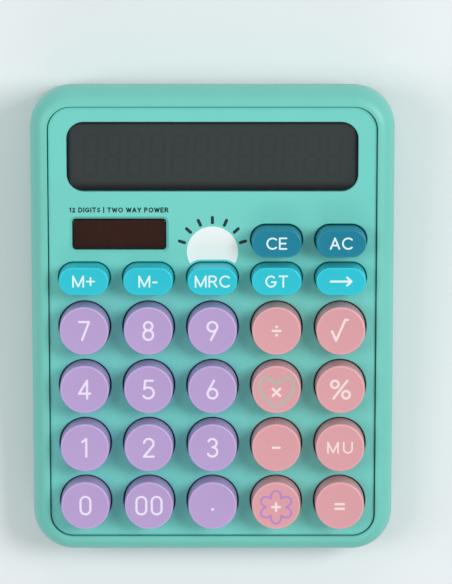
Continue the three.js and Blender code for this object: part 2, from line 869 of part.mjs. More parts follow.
// From a pad above one end of the solar cell's back down to the board.
function solarLead(side) {
  const u = solar.centreU + side * (solar.width / 2 - lead.fromCellEnd);
  const high = -plate.thickness - solar.cellThickness - 2 * GAP;
  const low = board.top + GAP;
  return wire(u, solarV, low, high, -side);
}

// From a battery contact's lug up to the underside of the board.
function batteryLead(side) {
  const y = batteryY + side * (tubeRadius + battery.contactLug - lead.radius - lead.edge);
  const low = cellHigh + 2 * battery.contactThickness + 2 * GAP;
  const v = (y - deck.position.y + boardLow * sinSlope) / cosSlope;
  const high = deckHeight + v * sinSlope + boardLow * cosSlope - 2 * GAP;
  const x = (side * battery.contactWidth) / 4;
  return wire(x, y, low, high, side);
}

// ---------------------------------------------------------------------------------------------------
// Fasteners and feet
// ---------------------------------------------------------------------------------------------------

// A pan-head screw seen head down, with a cross recess, whose head bears on the seat.
function screw(size, seat, u, v) {
  const headLow = seat - GAP / 3 - size.headHeight;
  const head = cylinder(size.headRadius, headLow, seat - GAP / 3, u, v);
  const shank = cylinder(size.shankRadius, seat - size.headHeight / 2, seat + size.length, u, v, 8);
  const bladeLong = size.headRadius * 1.2;
  const bladeShort = size.headRadius * 0.3;
  const bladeTop = headLow + size.headHeight / 2;
  const recess = [
    box(bladeLong, bladeShort, headLow - 1, bladeTop, u, v),
    box(bladeShort, bladeLong, headLow - 1, bladeTop, u, v),
  ];
  return combine(head, [shank], recess);
}

function rubberFoot(x, y) {
  const high = floorLow + foot.socket - foot.seatGap;
  const ring = (radius, height) => level(shifted(outline(2 * radius, 2 * radius, radius, 5), x, y), height);
  return loft([
    ring(foot.radius - foot.chamfer, 0),
    ring(foot.radius, foot.chamfer),
    ring(foot.radius, high),
  ]);
}

// ---------------------------------------------------------------------------------------------------
// Assembly
// ---------------------------------------------------------------------------------------------------

const calculator = new THREE.Group();
calculator.add(deck);

addPiece(deck, "upper_housing", upperHousing(), mintPlastic);
addPiece(deck, "face_plate", facePlate(), mintPanel);
addPiece(deck, "display_window", displayWindow(), tintedLens);
addPiece(deck, "display_frame", displayFrame(), blackPlastic);
addPiece(deck, "lcd_glass", lcdGlass(), greyGlass);
addPiece(deck, "zebra_connector", zebraConnector(), pinkRubber);
addPiece(deck, "solar_window", solarWindow(), clearPlastic);
addPiece(deck, "solar_cell", solarCell(), solarBrown);
addPiece(deck, "main_board", mainBoard(), greenBoard);
addPiece(deck, "key_switch_bank", keySwitchBank(), blackPlastic);
addPiece(deck, "controller_chip", controllerChip(), blackEpoxy);
addPiece(deck, "capacitor", capacitor(), aluminiumCan);
addPiece(deck, "solar_lead_positive", solarLead(-1), redWire);
addPiece(deck, "solar_lead_negative", solarLead(1), blackWire);

for (const { name, u, v, cap, material } of layout) {
  addPiece(deck, name, keyCap(cap).translate(u, v, 0), material);
}
for (const [name, u, v] of caseScrewPlaces) {
  addPiece(deck, name, screw(caseScrew, screwSeat, u, v), zincSteel);
}
for (const [name, u, v] of boardScrewPlaces) {
  addPiece(deck, name, screw(boardScrew, boardLow, u, v), zincSteel);
}

addPiece(calculator, "lower_housing", lowerHousing(), mintPlastic);
addPiece(calculator, "battery_cell", batteryCell(), nickelStrip);
addPiece(calculator, "battery_contact_positive", positiveContact(), nickelStrip);
addPiece(calculator, "battery_contact_negative", negativeContact(), nickelStrip);
addPiece(calculator, "battery_cover", batteryCover(), mintPlastic);
addPiece(calculator, "battery_lead_positive", batteryLead(1), redWire);
addPiece(calculator, "battery_lead_negative", batteryLead(-1), blackWire);
for (const [name, x, y] of footPlaces) {
  addPiece(calculator, name, rubberFoot(x, y), blackRubber);
}

export default calculator;
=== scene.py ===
"""The looks of a desk calculator with sprung mechanical keys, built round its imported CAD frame.

Everything on the sloping face is modelled in the deck frame, in millimetres: u runs across, v runs up the
face towards the rear and w points out of the face, with w = 0 on the face plate. What belongs to the level
underside is modelled in the table frame, also in millimetres. Each piece is baked into the row frame in
metres when it is placed.
"""

from __future__ import annotations

import json
import logging
import math
from collections.abc import Callable, Iterable, Sequence
from dataclasses import dataclass, field
from enum import Enum

import bmesh
import bpy
from mathutils import Matrix, Vector


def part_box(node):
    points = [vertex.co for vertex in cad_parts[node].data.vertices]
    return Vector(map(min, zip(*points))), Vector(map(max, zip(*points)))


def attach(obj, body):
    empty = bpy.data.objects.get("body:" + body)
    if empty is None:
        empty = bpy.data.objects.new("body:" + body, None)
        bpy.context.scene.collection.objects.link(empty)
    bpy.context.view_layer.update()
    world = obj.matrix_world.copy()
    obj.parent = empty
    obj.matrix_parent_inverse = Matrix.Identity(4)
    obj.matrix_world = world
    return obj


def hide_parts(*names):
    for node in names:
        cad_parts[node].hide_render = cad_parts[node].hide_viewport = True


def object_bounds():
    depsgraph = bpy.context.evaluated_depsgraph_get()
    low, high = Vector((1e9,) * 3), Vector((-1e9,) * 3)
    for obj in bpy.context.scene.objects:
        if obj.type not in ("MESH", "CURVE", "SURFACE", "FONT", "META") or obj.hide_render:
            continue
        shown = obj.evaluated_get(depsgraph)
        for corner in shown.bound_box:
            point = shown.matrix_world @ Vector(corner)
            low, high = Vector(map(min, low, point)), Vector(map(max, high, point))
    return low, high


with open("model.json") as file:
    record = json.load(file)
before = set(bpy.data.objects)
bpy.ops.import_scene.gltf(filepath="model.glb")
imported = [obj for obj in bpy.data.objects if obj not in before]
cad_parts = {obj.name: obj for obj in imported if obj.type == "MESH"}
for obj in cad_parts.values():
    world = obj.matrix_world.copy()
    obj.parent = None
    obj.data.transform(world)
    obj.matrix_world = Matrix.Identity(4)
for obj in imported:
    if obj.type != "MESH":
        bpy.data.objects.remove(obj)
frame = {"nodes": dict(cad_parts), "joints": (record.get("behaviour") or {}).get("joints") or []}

MM = 0.001
GAP = 0.3  # between pieces that seat on or beside each other, as in the CAD model
NEAR = 0.02  # within this distance of a round edge, a point of its straight-sided ring is on it
CASE = "case"
EDGE_HIGHLIGHT = "painted_edge_highlight"  # the attribute of the points on the caps' top edges, which carry a painted highlight

CAD_LOW, CAD_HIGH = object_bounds()
log = logging.getLogger("calculator")

Point = tuple[float, float]
Ring = list[Vector]


# ---- Frames ----


@dataclass(frozen=True)
class Deck:
    """The tilted frame of the face.

    Attributes:
        matrix: Takes a deck place in millimetres to the row frame in metres.
        boxes: The boxes that have been worked out, by node.
    """

    matrix: Matrix
    boxes: dict[str, tuple[Vector, Vector]] = field(default_factory=dict)

    @classmethod
    def from_frame(cls) -> Deck:
        """Work the deck out of a key's axis, the face plate and the upper shell.

        Returns:
            The deck.
        """
        press = next(joint for joint in frame["joints"] if joint["type"] == "slide")
        across = Vector((1, 0, 0))
        normal = -Vector(press["axis"]).normalized()
        rise = normal.cross(across)
        plate = frame["nodes"]["face_plate"].data.vertices
        shell = frame["nodes"]["upper_housing"].data.vertices
        face = max(normal.dot(vertex.co) for vertex in plate)
        reach = [rise.dot(vertex.co) for vertex in shell]
        origin = normal * face + rise * (min(reach) + max(reach)) / 2
        turn = Matrix((across, rise, normal)).transposed().to_4x4()
        return cls(Matrix.Translation(origin) @ turn @ Matrix.Scale(MM, 4))

    def box(self, node: str) -> tuple[Vector, Vector]:
        """Lowest and highest deck coordinates of a CAD node.

        Args:
            node: The name of the CAD node.

        Returns:
            Two corners in deck millimetres.
        """
        if node not in self.boxes:
            back = self.matrix.inverted()
            points = [back @ vertex.co for vertex in frame["nodes"][node].data.vertices]
            low = Vector(min(point[axis] for point in points) for axis in range(3))
            high = Vector(max(point[axis] for point in points) for axis in range(3))
            self.boxes[node] = (low.freeze(), high.freeze())
        return self.boxes[node]

    def to_table(self, point: Vector) -> Vector:
        """The table place, in millimetres, of a deck place."""
        return self.matrix @ point / MM


DECK = Deck.from_frame()
TABLE = Matrix.Scale(MM, 4)


def table_box(node: str) -> tuple[Vector, Vector]:
    """Lowest and highest corners of a CAD node in the table frame, in millimetres."""
    low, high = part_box(node)
    return low / MM, high / MM


def middle(box: tuple[Vector, Vector]) -> Point:
    """The middle of a box, seen from above."""
    low, high = box
    return ((low.x + high.x) / 2, (low.y + high.y) / 2)


def middle_of(node: str) -> Point:
    """The middle of a CAD node on the deck."""
    return middle(DECK.box(node))


# ---- Mesh building ----


@dataclass(frozen=True)
class Outline:
    """A rectangle with round corners. A radius of half its depth makes an oval or a circle.

    Attributes:
        width: Size across.
        depth: Size up the face.
        radius: Corner radius.
        centre: Where its middle is.
        segments: Steps round each corner.
    """

    width: float
    depth: float
    radius: float
    centre: Point = (0.0, 0.0)
    segments: int = 16

    @classmethod
    def circle(cls, radius: float, centre: Point = (0.0, 0.0), segments: int = 16) -> Outline:
        """A circle with four times as many sides as it has segments."""
        return cls(2 * radius, 2 * radius, radius, centre, segments)

    def grown(self, amount: float) -> Outline:
        """The same outline moved outwards by an amount, or inwards by a negative one."""
        sizes = (self.width + 2 * amount, self.depth + 2 * amount, self.radius + amount)
        return Outline(*sizes, self.centre, self.segments)

    def ring(self, height: float) -> Ring:
        """Points of the outline at one height.

        Args:
            height: The height.

        Returns:
            The points, counter-clockwise.
        """
        points = []
        for corner in range(4):
            middle = (corner + 0.5) * math.pi / 2
            x = self.centre[0] + math.copysign(self.width / 2 - self.radius, math.cos(middle))
            y = self.centre[1] + math.copysign(self.depth / 2 - self.radius, math.sin(middle))
            for step in range(self.segments + 1):
                angle = (corner + step / self.segments) * math.pi / 2
                offset = Vector((math.cos(angle), math.sin(angle))) * self.radius
                points.append(Vector((x + offset.x, y + offset.y, height)))
        return points


def fillet(outline: Outline, start: Point, end: Point, bulge: Point, steps: int = 6) -> list[Ring]:
    """Rings along a quarter round from one inset and height to another.

    Args:
        outline: The outline whose growth the insets are.
        start: Growth and height of the first ring.
        end: Growth and height of the last ring.
        bulge: The corner of growth and height that the round bulges towards.
        steps: Spans along the round.

    Returns:
        The rings, first and last included.
    """
    centre = [first + last - corner for first, last, corner in zip(start, end, bulge)]
    rings = []
    for step in range(steps + 1):
        angle = step / steps * math.pi / 2
        growth, height = (
            core + (first - core) * math.cos(angle) + (last - core) * math.sin(angle)
            for core, first, last in zip(centre, start, end)
        )
        rings.append(outline.grown(growth).ring(height))
    return rings


class Join(Enum):
    """How two solids are combined."""

    UNION = "UNION"
    DIFFERENCE = "DIFFERENCE"


class Solid:
    """A closed mesh in millimetres, made by lofts and booleans."""

    def __init__(self, mesh: bpy.types.Mesh) -> None:
        """Keep a mesh as a solid.

        Args:
            mesh: The closed mesh.
        """
        self.mesh = mesh

    @classmethod
    def loft(cls, rings: Sequence[Ring], loop: bool = False) -> Solid:
        """A skin over rings of matching points.

        Args:
            rings: The rings, from the foot to the top of the outside.
            loop: Join the last ring to the first. Otherwise both ends are capped.

        Returns:
            The solid, with its doubled points merged and its faces pointing out.
        """
        made = bmesh.new()
        layers = [[made.verts.new(point) for point in ring] for ring in rings]
        count = len(layers[0])
        spans = len(layers) if loop else len(layers) - 1
        for index in range(spans):
            here, above = layers[index], layers[(index + 1) % len(layers)]
            for i in range(count):
                j = (i + 1) % count
                made.faces.new((here[i], here[j], above[j], above[i]))
        if not loop:
            made.faces.new(list(reversed(layers[0])))
            made.faces.new(layers[-1])
        return cls._finished(made)

    @classmethod
    def slab(cls, outline: Outline, low: float, high: float, edge: float = 0.0) -> Solid:
        """An outline between two heights, with its edges rounded by a small fillet.

        Args:
            outline: The widest outline.
            low: Height of the underside.
            high: Height of the top.
            edge: Radius of the fillets. None is made at zero.

        Returns:
            The solid.
        """
        if edge <= 0:
            return cls.loft([outline.ring(low), outline.ring(high)])
        foot = fillet(outline, (-edge, low), (0, low + edge), (0, low), 4)
        top = fillet(outline, (0, high - edge), (-edge, high), (0, high), 4)
        return cls.loft(foot + top)

    @classmethod
    def box(cls, low: Vector, high: Vector) -> Solid:
        """A sharp box between two corners, for cutting."""
        made = bmesh.new()
        place = Matrix.Translation((low + high) / 2) @ Matrix.Diagonal((*(high - low), 1))
        bmesh.ops.create_cube(made, size=1, matrix=place)
        return cls._finished(made)

    @classmethod
    def wedge(cls, disc: Outline, half_angle: float, turn: float, low: float, high: float) -> Solid:
        """A slice of a disc, for the tabs of a twisting cover and the notches they enter by.

        Args:
            disc: The disc.
            half_angle: Half the slice's angle in degrees.
            turn: Where its middle points, in degrees.
            low: Height of the underside.
            high: Height of the top.

        Returns:
            The solid.
        """
        steps = 10
        x, y = disc.centre
        points = [(x, y)]
        for step in range(steps + 1):
            angle = math.radians(turn - half_angle + 2 * half_angle * step / steps)
            points.append((x + disc.radius * math.cos(angle), y + disc.radius * math.sin(angle)))
        return cls.loft([[Vector((*point, height)) for point in points] for height in (low, high)])

    @classmethod
    def _finished(cls, made: bmesh.types.BMesh) -> Solid:
        """Merge doubled points, point the faces out and turn the work mesh into a solid.

        Args:
            made: The work mesh, which is used up.

        Returns:
            The solid.
        """
        bmesh.ops.remove_doubles(made, verts=made.verts, dist=1e-4)
        bmesh.ops.recalc_face_normals(made, faces=made.faces)
        mesh = bpy.data.meshes.new("solid")
        made.to_mesh(mesh)
        made.free()
        return cls(mesh)

    def painted_highlight(self, test: Callable[[Vector], bool]) -> Solid:
        """Mark some of the points as an edge that carries a painted highlight.

        Args:
            test: Whether a place is on that edge.

        Returns:
            The same solid.
        """
        marks = self.mesh.attributes.new(EDGE_HIGHLIGHT, "FLOAT", "POINT")
        for vertex, mark in zip(self.mesh.vertices, marks.data):
            mark.value = float(test(vertex.co))
        return self

    def moved(self, matrix: Matrix) -> Solid:
        """The same solid somewhere else."""
        self.mesh.transform(matrix)
        return self

    def combined(self, others: Iterable[Solid], join: Join) -> Solid:
        """This solid with others joined to it or cut from it.

        Args:
            others: Solids that don't overlap one another.
            join: What to do with them.

        Returns:
            A new solid. The ones it was made from are used up.
        """
        made = bmesh.new()
        for other in others:
            made.from_mesh(other.mesh)
        tools = bpy.data.meshes.new("tools")
        made.to_mesh(tools)
        made.free()
        base_object = bpy.data.objects.new("base", self.mesh)
        tool_object = bpy.data.objects.new("tools", tools)
        for thing in (base_object, tool_object):
            bpy.context.scene.collection.objects.link(thing)
        modifier = base_object.modifiers.new("combine", "BOOLEAN")
        modifier.operation = join.value
        modifier.solver = "EXACT"
        modifier.object = tool_object
        result = evaluated_mesh(base_object)
        for thing in (base_object, tool_object):
            bpy.data.objects.remove(thing)
        return Solid(result)

    def joined(self, *others: Solid) -> Solid:
        """This solid with others joined to it."""
        return self.combined(others, Join.UNION)

    def cut(self, *others: Solid) -> Solid:
        """This solid with others cut from it."""
        return self.combined(others, Join.DIFFERENCE)

    def place(
        self,
        name: str,
        material: bpy.types.Material,
        body: str,
        slot: str,
        replaces: Sequence[str] = (),
        matrix: Matrix | None = None,
        crease: float = 32.0,
    ) -> bpy.types.Object:
        """slot: The record's material slot it is painted from. It is passed on but not used.
            replaces: CAD nodes it stands for.
            matrix: From its own frame to the row frame. The deck's is used when none is given.
            crease: Edges that turn more than this many degrees are sharp.

        Returns:
            The object.
        """
        self.mesh.transform(DECK.matrix if matrix is None else matrix)
        self.mesh.name = name
        self.mesh.materials.clear()
        self.mesh.materials.append(material)
        self.mesh.shade_smooth()
        self.mesh.set_sharp_from_angle(angle=math.radians(crease))
        piece = bpy.data.objects.new(name, self.mesh)
        bpy.context.scene.collection.objects.link(piece)
        weights = piece.modifiers.new("even shading", "WEIGHTED_NORMAL")
        weights.keep_sharp = True
        weights.weight = 80
        register(piece, body, slot, replaces)
        return piece


def evaluated_mesh(source: bpy.types.Object) -> bpy.types.Mesh:
    """The mesh of an object with its modifiers worked out."""
    graph = bpy.context.evaluated_depsgraph_get()
    return bpy.data.meshes.new_from_object(source.evaluated_get(graph), depsgraph=graph)


def register(piece: bpy.types.Object, body: str, slot: str, replaces: Sequence[str] = ()) -> None:
    """Hang a piece on its body's empty and hide the CAD nodes it stands for.

    Args:
        piece: The piece.
        body: The body it rides on.
        slot: The material slot it is painted from. It is not used.
        replaces: CAD nodes it stands for.
    """
    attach(piece, body)
    if replaces:
        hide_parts(*replaces)
    log.info("%s: %d faces on %s", piece.name, len(piece.data.polygons), body)


# ---- Shader graphs and finishes ----


def math_node(operation: str) -> Callable[..., Wire]:
    """A method that adds one Math node, on a wire and another value."""

    def method(first: Wire, second: Wire | float = 0.0) -> Wire:
        """The result of the node."""
        return first.graph.wire("ShaderNodeMath", {0: first, 1: second}, operation=operation)

    return method


class Wire:
    """A number or a place in a node graph, with arithmetic that adds Math nodes."""

    def __init__(self, graph: NodeGraph, socket: bpy.types.NodeSocket) -> None:
        """Wrap an output socket.

        Args:
            graph: The graph it is in.
            socket: The output.
        """
        self.graph = graph
        self.socket = socket

    __add__ = __radd__ = math_node("ADD")
    __sub__ = math_node("SUBTRACT")
    __mul__ = __rmul__ = math_node("MULTIPLY")
    __truediv__ = math_node("DIVIDE")
    __pow__ = math_node("POWER")
    __abs__ = math_node("ABSOLUTE")
    modulo = math_node("FLOORED_MODULO")
    at_least = math_node("MAXIMUM")
    at_most = math_node("MINIMUM")

    def __rsub__(self, other: float) -> Wire:
        """Difference from a number."""
        return self.graph.wire("ShaderNodeMath", {0: other, 1: self}, operation="SUBTRACT")

    def fade(self, start: float, end: float) -> Wire:
        """A smooth step between two values, which come in either order.

        Args:
            start: Where the result is 0.
            end: Where it is 1.

        Returns:
            The result, between 0 and 1.
        """
        values = {"Value": self, "From Min": min(start, end), "From Max": max(start, end)}
        risen = self.graph.wire("ShaderNodeMapRange", values, interpolation_type="SMOOTHSTEP")
        return risen if start < end else 1 - risen


Value = Wire | float | Sequence[float] | bpy.types.Material | list[Wire]
Tint = tuple[float, float, float, float]


class NodeGraph:
    """A shader or geometry tree, built one node at a time."""

    def __init__(self, tree: bpy.types.NodeTree) -> None:
        """Keep the tree.

        Args:
            tree: The tree to build in.
        """
        self.tree = tree

    def add(
        self, kind: str, values: dict[str | int, Value] | None = None, **settings: str
    ) -> bpy.types.Node:
        """Add any node.

        Args:
            kind: The node's type.
            values: Numbers, colours, wires or lists of wires for its inputs, by name, identifier or index.
            **settings: Its own settings, which are set first.

        Returns:
            The node.
        """
        node = self.tree.nodes.new(kind)
        for key, setting in settings.items():
            setattr(node, key, setting)
        for key, value in (values or {}).items():
            if isinstance(key, int):
                socket = node.inputs[key]
            else:
                socket = next(s for s in node.inputs if key in (s.identifier, s.name) and s.enabled)
            for item in value if isinstance(value, list) else [value]:
                if isinstance(item, Wire):
                    self.tree.links.new(item.socket, socket)
                else:
                    socket.default_value = item
        return node

    def wire(
        self, kind: str, values: dict[str | int, Value] | None = None, output: str = "", **settings: str
    ) -> Wire:
        """Add any node and take one of its outputs.

        Args:
            kind: The node's type.
            values: What its inputs get, as for add.
            output: The output's name. The first one in use is taken when none is given.
            **settings: The node's own settings.

        Returns:
            The output.
        """
        outputs = self.add(kind, values, **settings).outputs
        return Wire(self, next(s for s in outputs if s.enabled and output in ("", s.name)))


class Graph(NodeGraph):
    """A material's graph."""

    def __init__(self, name: str) -> None:
        """Start an empty material.

        Args:
            name: The material's name.
        """
        self.material = bpy.data.materials.new(name)
        self.material.use_nodes = True
        super().__init__(self.material.node_tree)
        self.tree.nodes.clear()
        self.place = self.wire("ShaderNodeTexCoord", output="Object")

    def turned(self, matrix: Matrix) -> Wire:
        """Object coordinates in millimetres of a frame that is turned about X, such as the deck's.

        Args:
            matrix: Takes that frame to the row frame.

        Returns:
            The place in that frame.
        """
        back = matrix.inverted()
        values = {
            "Vector": self.place,
            "Location": back.to_translation(),
            "Rotation": back.to_euler(),
            "Scale": back.to_scale(),
        }
        return self.wire("ShaderNodeMapping", values, vector_type="POINT")

    def axes(self, place: Wire) -> tuple[Wire, Wire, Wire]:
        """The three numbers of a place."""
        node = self.add("ShaderNodeSeparateXYZ", {0: place})
        return tuple(Wire(self, output) for output in node.outputs)

    def noise(self, scale: float, detail: float = 2.0, place: Wire | None = None) -> Wire:
        """Noise between 0 and 1, with so many features to a metre, or to a millimetre on a turned place."""
        values = {"Vector": place or self.place, "Scale": scale, "Detail": detail, "Roughness": 0.55}
        return self.wire("ShaderNodeTexNoise", values)

    def cells(self, scale: float) -> Wire:
        """Distance to the nearest of many scattered points."""
        return self.wire("ShaderNodeTexVoronoi", {"Vector": self.place, "Scale": scale}, "Distance")

    def stretched(self, across: Wire, up: Wire, out: Wire | float = 0.0) -> Wire:
        """A place put together from three numbers."""
        return self.wire("ShaderNodeCombineXYZ", {0: across, 1: up, 2: out})

    def blend(self, factor: Wire | float, first: Value, second: Value) -> Wire:
        """A mix of two colours."""
        values = {"Factor_Float": factor, "A_Color": first, "B_Color": second}
        return self.wire("ShaderNodeMix", values, data_type="RGBA", clamp_factor=True)

    def bump(self, height: Wire, depth: float) -> Wire:
        """A surface normal for a height between 0 and 1 that stands for a depth in metres."""
        return self.wire("ShaderNodeBump", {"Height": height, "Distance": depth, "Strength": 1.0})

    def finish(self, **values: Value) -> bpy.types.Material:
        """Close the graph with a principled shader.

        Args:
            **values: Its inputs, with underscores for spaces.

        Returns:
            The material.
        """
        named = {key.replace("_", " "): value for key, value in values.items()}
        shader = self.add("ShaderNodeBsdfPrincipled", named)
        out = self.add("ShaderNodeOutputMaterial")
        self.tree.links.new(shader.outputs[0], out.inputs[0])
        return self.material


def colour(red: int, green: int, blue: int) -> Tint:
    """A linear colour.

    Args:
        red: Its red, as shown on a display, from 0 to 255.
        green: Its green.
        blue: Its blue.

    Returns:
        The colour, with full cover.
    """
    shares = (value / 255 for value in (red, green, blue))
    return (*(s / 12.92 if s <= 0.04045 else ((s + 0.055) / 1.055) ** 2.4 for s in shares), 1.0)


def scaled(tint: Tint, factor: float) -> Tint:
    """A colour made darker or lighter by a factor."""
    return (*(min(1.0, channel * factor) for channel in tint[:3]), 1.0)


@dataclass(frozen=True)
class Finish:
    """A surface finish. Each kind of surface has a class of its own.

    Attributes:
        name: The finish's name.
        tint: Its colour.
    """

    name: str
    tint: Tint

    def shade(self, factor: float) -> Tint:
        """Its colour made darker or lighter by a factor."""
        return scaled(self.tint, factor)

    def inputs(self, graph: Graph) -> dict[str, Value]:
        """Draw the surface.

        Args:
            graph: The graph to draw it in.

        Returns:
            The principled shader's inputs, with underscores for spaces.
        """
        raise NotImplementedError(self.name)


@dataclass(frozen=True)
class MouldedPlastic(Finish):
    """Injection-moulded plastic: a spark-eroded grain, faint flow mottling, dust and handling marks, and a
    painted highlight on the edges marked for it.

    Attributes:
        roughness: Mean roughness.
        grain: Depth of the mould's grain in metres.
        grain_scale: Grains to a metre.
        mottle: How much its tone wanders.
        polish: How much smoother it gets where fingers rub.
        rubbed: How much paler the edges marked as worn are.
        coat: Strength of the clear sheen on glossy parts.
    """

    roughness: float = 0.42
    grain: float = 0.000012
    grain_scale: float = 5200.0
    mottle: float = 0.07
    polish: float = 0.1
    # highlight: How much paler the edges marked by the attribute are, as a painted highlight.
    rubbed: float = 0.3
    coat: float = 0.0

    def inputs(self, graph: Graph) -> dict[str, Value]:
        """Draw the plastic.

        Args:
            graph: The graph to draw it in.

        Returns:
            The shader's inputs.
        """
        flow = graph.noise(38, 3)
        marks = graph.noise(160, 4)
        specks = graph.cells(900).fade(0.1, 0.04) * graph.noise(300, 2).fade(0.62, 0.72)
        base = graph.blend(flow, self.shade(1 - self.mottle), self.shade(1 + self.mottle / 2))
        base = graph.blend(specks * 0.25, base, self.shade(0.55))
        # Painted highlight: the points marked by the attribute are lightened.
        painted_highlight = graph.wire("ShaderNodeAttribute", output="Fac", attribute_name=EDGE_HIGHLIGHT)
        base = graph.blend(painted_highlight * self.rubbed, base, self.shade(1.5))
        rough = self.roughness + (marks - 0.5) * self.polish + specks * 0.15
        grain = graph.noise(self.grain_scale, 2) * 0.7 + graph.noise(self.grain_scale / 9, 1) * 0.3
        return {
            "Base_Color": base,
            "Roughness": rough,
            "Normal": graph.bump(grain, self.grain),
            "Coat_Weight": self.coat,
            "Coat_Roughness": 0.12,
            "IOR": 1.49,
        }


@dataclass(frozen=True)
class Ink(Finish):
    """A printed or double-shot legend: one dense colour with a slightly uneven film.

    Attributes:
        roughness: Mean roughness.
    """

    roughness: float = 0.38

    def inputs(self, graph: Graph) -> dict[str, Value]:
        """Draw the film.

        Args:
            graph: The graph to draw it in.

        Returns:
            The shader's inputs.
        """
        film = graph.noise(1400, 3)
        pores = graph.cells(4200).fade(0.12, 0.05)
        base = graph.blend(film, self.shade(0.94), self.shade(1.03))
        base = graph.blend(pores * 0.18, base, self.shade(0.7))
        rough = self.roughness + (film - 0.5) * 0.12
        return {"Base_Color": base, "Roughness": rough, "Normal": graph.bump(film, 0.000006)}


@dataclass(frozen=True)
class SmokedWindow(Finish):
    """A tinted acrylic window with fine wipe marks, through which the part below shows faintly. Its dark
    border is printed on its back and widened along the front edge by painted shade of the recess wall.

    Attributes:
        cover: How much of what is below it hides.
        node: The CAD node whose edges carry the printed border.
        border: Width of the dark border printed on its back, in millimetres, before painted shade widens it
            at the front.
        roughness: Mean roughness.
        rear: How many times narrower the printed border and its painted shade are along the rear edge.
        front: The same along the front edge. It is under 1, because painted shade of the recess wall widens
            the border there.
    """

    cover: float
    node: str
    border: float
    roughness: float = 0.09
    rear: float = 1.6
    front: float = 0.42

    def inputs(self, graph: Graph) -> dict[str, Value]:
        """Draw the window.

        Args:
            graph: The graph to draw it in.

        Returns:
            The shader's inputs.
        """
        across, up, _ = graph.axes(graph.turned(DECK.matrix))
        wiped = {"Vector": graph.stretched(across * 0.05, up * 1.6), "Scale": 2.0, "Detail": 3.0}
        wipes = graph.wire("ShaderNodeTexNoise", wiped, noise_dimensions="2D")
        low, high = DECK.box(self.node)
        # Dark border: printed on the back, and wider towards the front edge as painted shade of the recess
        # wall.
        sides = (across - low.x).at_most(high.x - across).at_most((high.y - up) * self.rear)
        printed = sides.at_most((up - low.y) * self.front).fade(self.border, self.border * 0.15)
        film = graph.noise(60, 3)
        base = graph.blend(film, self.shade(0.9), self.shade(1.12))
        return {
            "Base_Color": graph.blend(printed, base, self.shade(0.02)),
            "Roughness": self.roughness + wipes.fade(0.55, 0.8) * 0.05 + film * 0.04,
            "Alpha": self.cover + (film - 0.5) * 0.04 + printed * (0.95 - self.cover),
            "Normal": graph.bump(wipes, 0.000002),
            "Coat_Weight": 0.3,
            "Coat_Roughness": 0.05,
            "IOR": 1.49,
        }


@dataclass(frozen=True)
class LiquidCrystal(Finish):
    """The grey-green back of a switched-off display, with its polariser's faint weave."""

    def inputs(self, graph: Graph) -> dict[str, Value]:
        """Draw the display.

        Args:
            graph: The graph to draw it in.

        Returns:
            The shader's inputs.
        """
        across, up, _ = graph.axes(graph.turned(DECK.matrix))
        weave = abs((across + up).modulo(0.24) - 0.12) * 8
        cloud = graph.noise(30, 3)
        base = graph.blend(cloud, self.shade(0.93), self.shade(1.05))
        base = graph.blend(weave * 0.08, base, self.shade(0.8))
        return {"Base_Color": base, "Roughness": 0.3 + cloud * 0.08, "Normal": graph.bump(weave, 0.000003)}


@dataclass(frozen=True)
class SolarSilicon(Finish):
    """An amorphous silicon panel: brown cells side by side, parted by hairline gaps.

    Attributes:
        cells: How many cells lie side by side.
    """

    cells: int = 4

    def inputs(self, graph: Graph) -> dict[str, Value]:
        """Draw the cells.

        Args:
            graph: The graph to draw them in.

        Returns:
            The shader's inputs.
        """
        low, high = DECK.box("solar_cell")
        across, up, _ = graph.axes(graph.turned(DECK.matrix))
        pitch = (high.x - low.x) / self.cells
        from_line = abs((across - low.x + pitch / 2).modulo(pitch) - pitch / 2)
        lines = from_line.fade(0.22, 0.1)
        edge = (across - low.x).at_most(high.x - across).at_most(up - low.y).at_most(high.y - up)
        border = edge.fade(1.2, 0.9)
        haze = graph.noise(90, 4)
        base = graph.blend(haze, self.shade(0.8), self.shade(1.3))
        base = graph.blend(lines * 0.8, base, self.shade(2.6))
        base = graph.blend(border * 0.8, base, self.shade(0.35))
        return {"Base_Color": base, "Roughness": 0.22 + haze * 0.1, "Normal": graph.bump(haze, 0.000004)}


@dataclass(frozen=True)
class CircuitLaminate(Finish):
    """A green circuit board: copper tracks under the mask, tinned pads and a speckled glass weave.

    Attributes:
        pitch: Spacing of the tracks in millimetres.
    """

    pitch: float = 2.54

    def inputs(self, graph: Graph) -> dict[str, Value]:
        """Draw the board.

        Args:
            graph: The graph to draw it in.

        Returns:
            The shader's inputs.
        """
        across, up, _ = graph.axes(graph.turned(DECK.matrix))
        wander = graph.noise(120, 0) * 5
        half = self.pitch / 2
        tracks = abs((across + wander).modulo(self.pitch) - half).fade(0.45, 0.35)
        rungs = abs((up + wander).modulo(self.pitch * 2) - self.pitch).fade(0.4, 0.3)
        from_pad = [(way.modulo(self.pitch) - half) ** 2.0 for way in (across, up)]
        pads = (from_pad[0] + from_pad[1]).fade(0.5, 0.4)
        chosen = graph.noise(70, 0).fade(0.52, 0.56)
        copper = tracks.at_least(rungs) * graph.noise(45, 0).fade(0.45, 0.5)
        weave = graph.noise(2600, 2)
        base = graph.blend(weave, self.shade(0.85), self.shade(1.1))
        base = graph.blend(copper, base, self.shade(1.7))
        return {
            "Base_Color": graph.blend(pads * chosen, base, colour(200, 198, 190)),
            "Roughness": 0.45 - copper * 0.1,
            "Metallic": pads * chosen,
            "Normal": graph.bump(copper + weave * 0.2, 0.00003),
        }


class Wear(Enum):
    """How a metal's surface was worked, as the stretch of its scratches along X, Y and Z."""

    DRAWN = (1.0, 12.0, 1.0)
    TUMBLED = (1.0, 1.0, 1.0)
    ROLLED = (14.0, 1.0, 1.0)


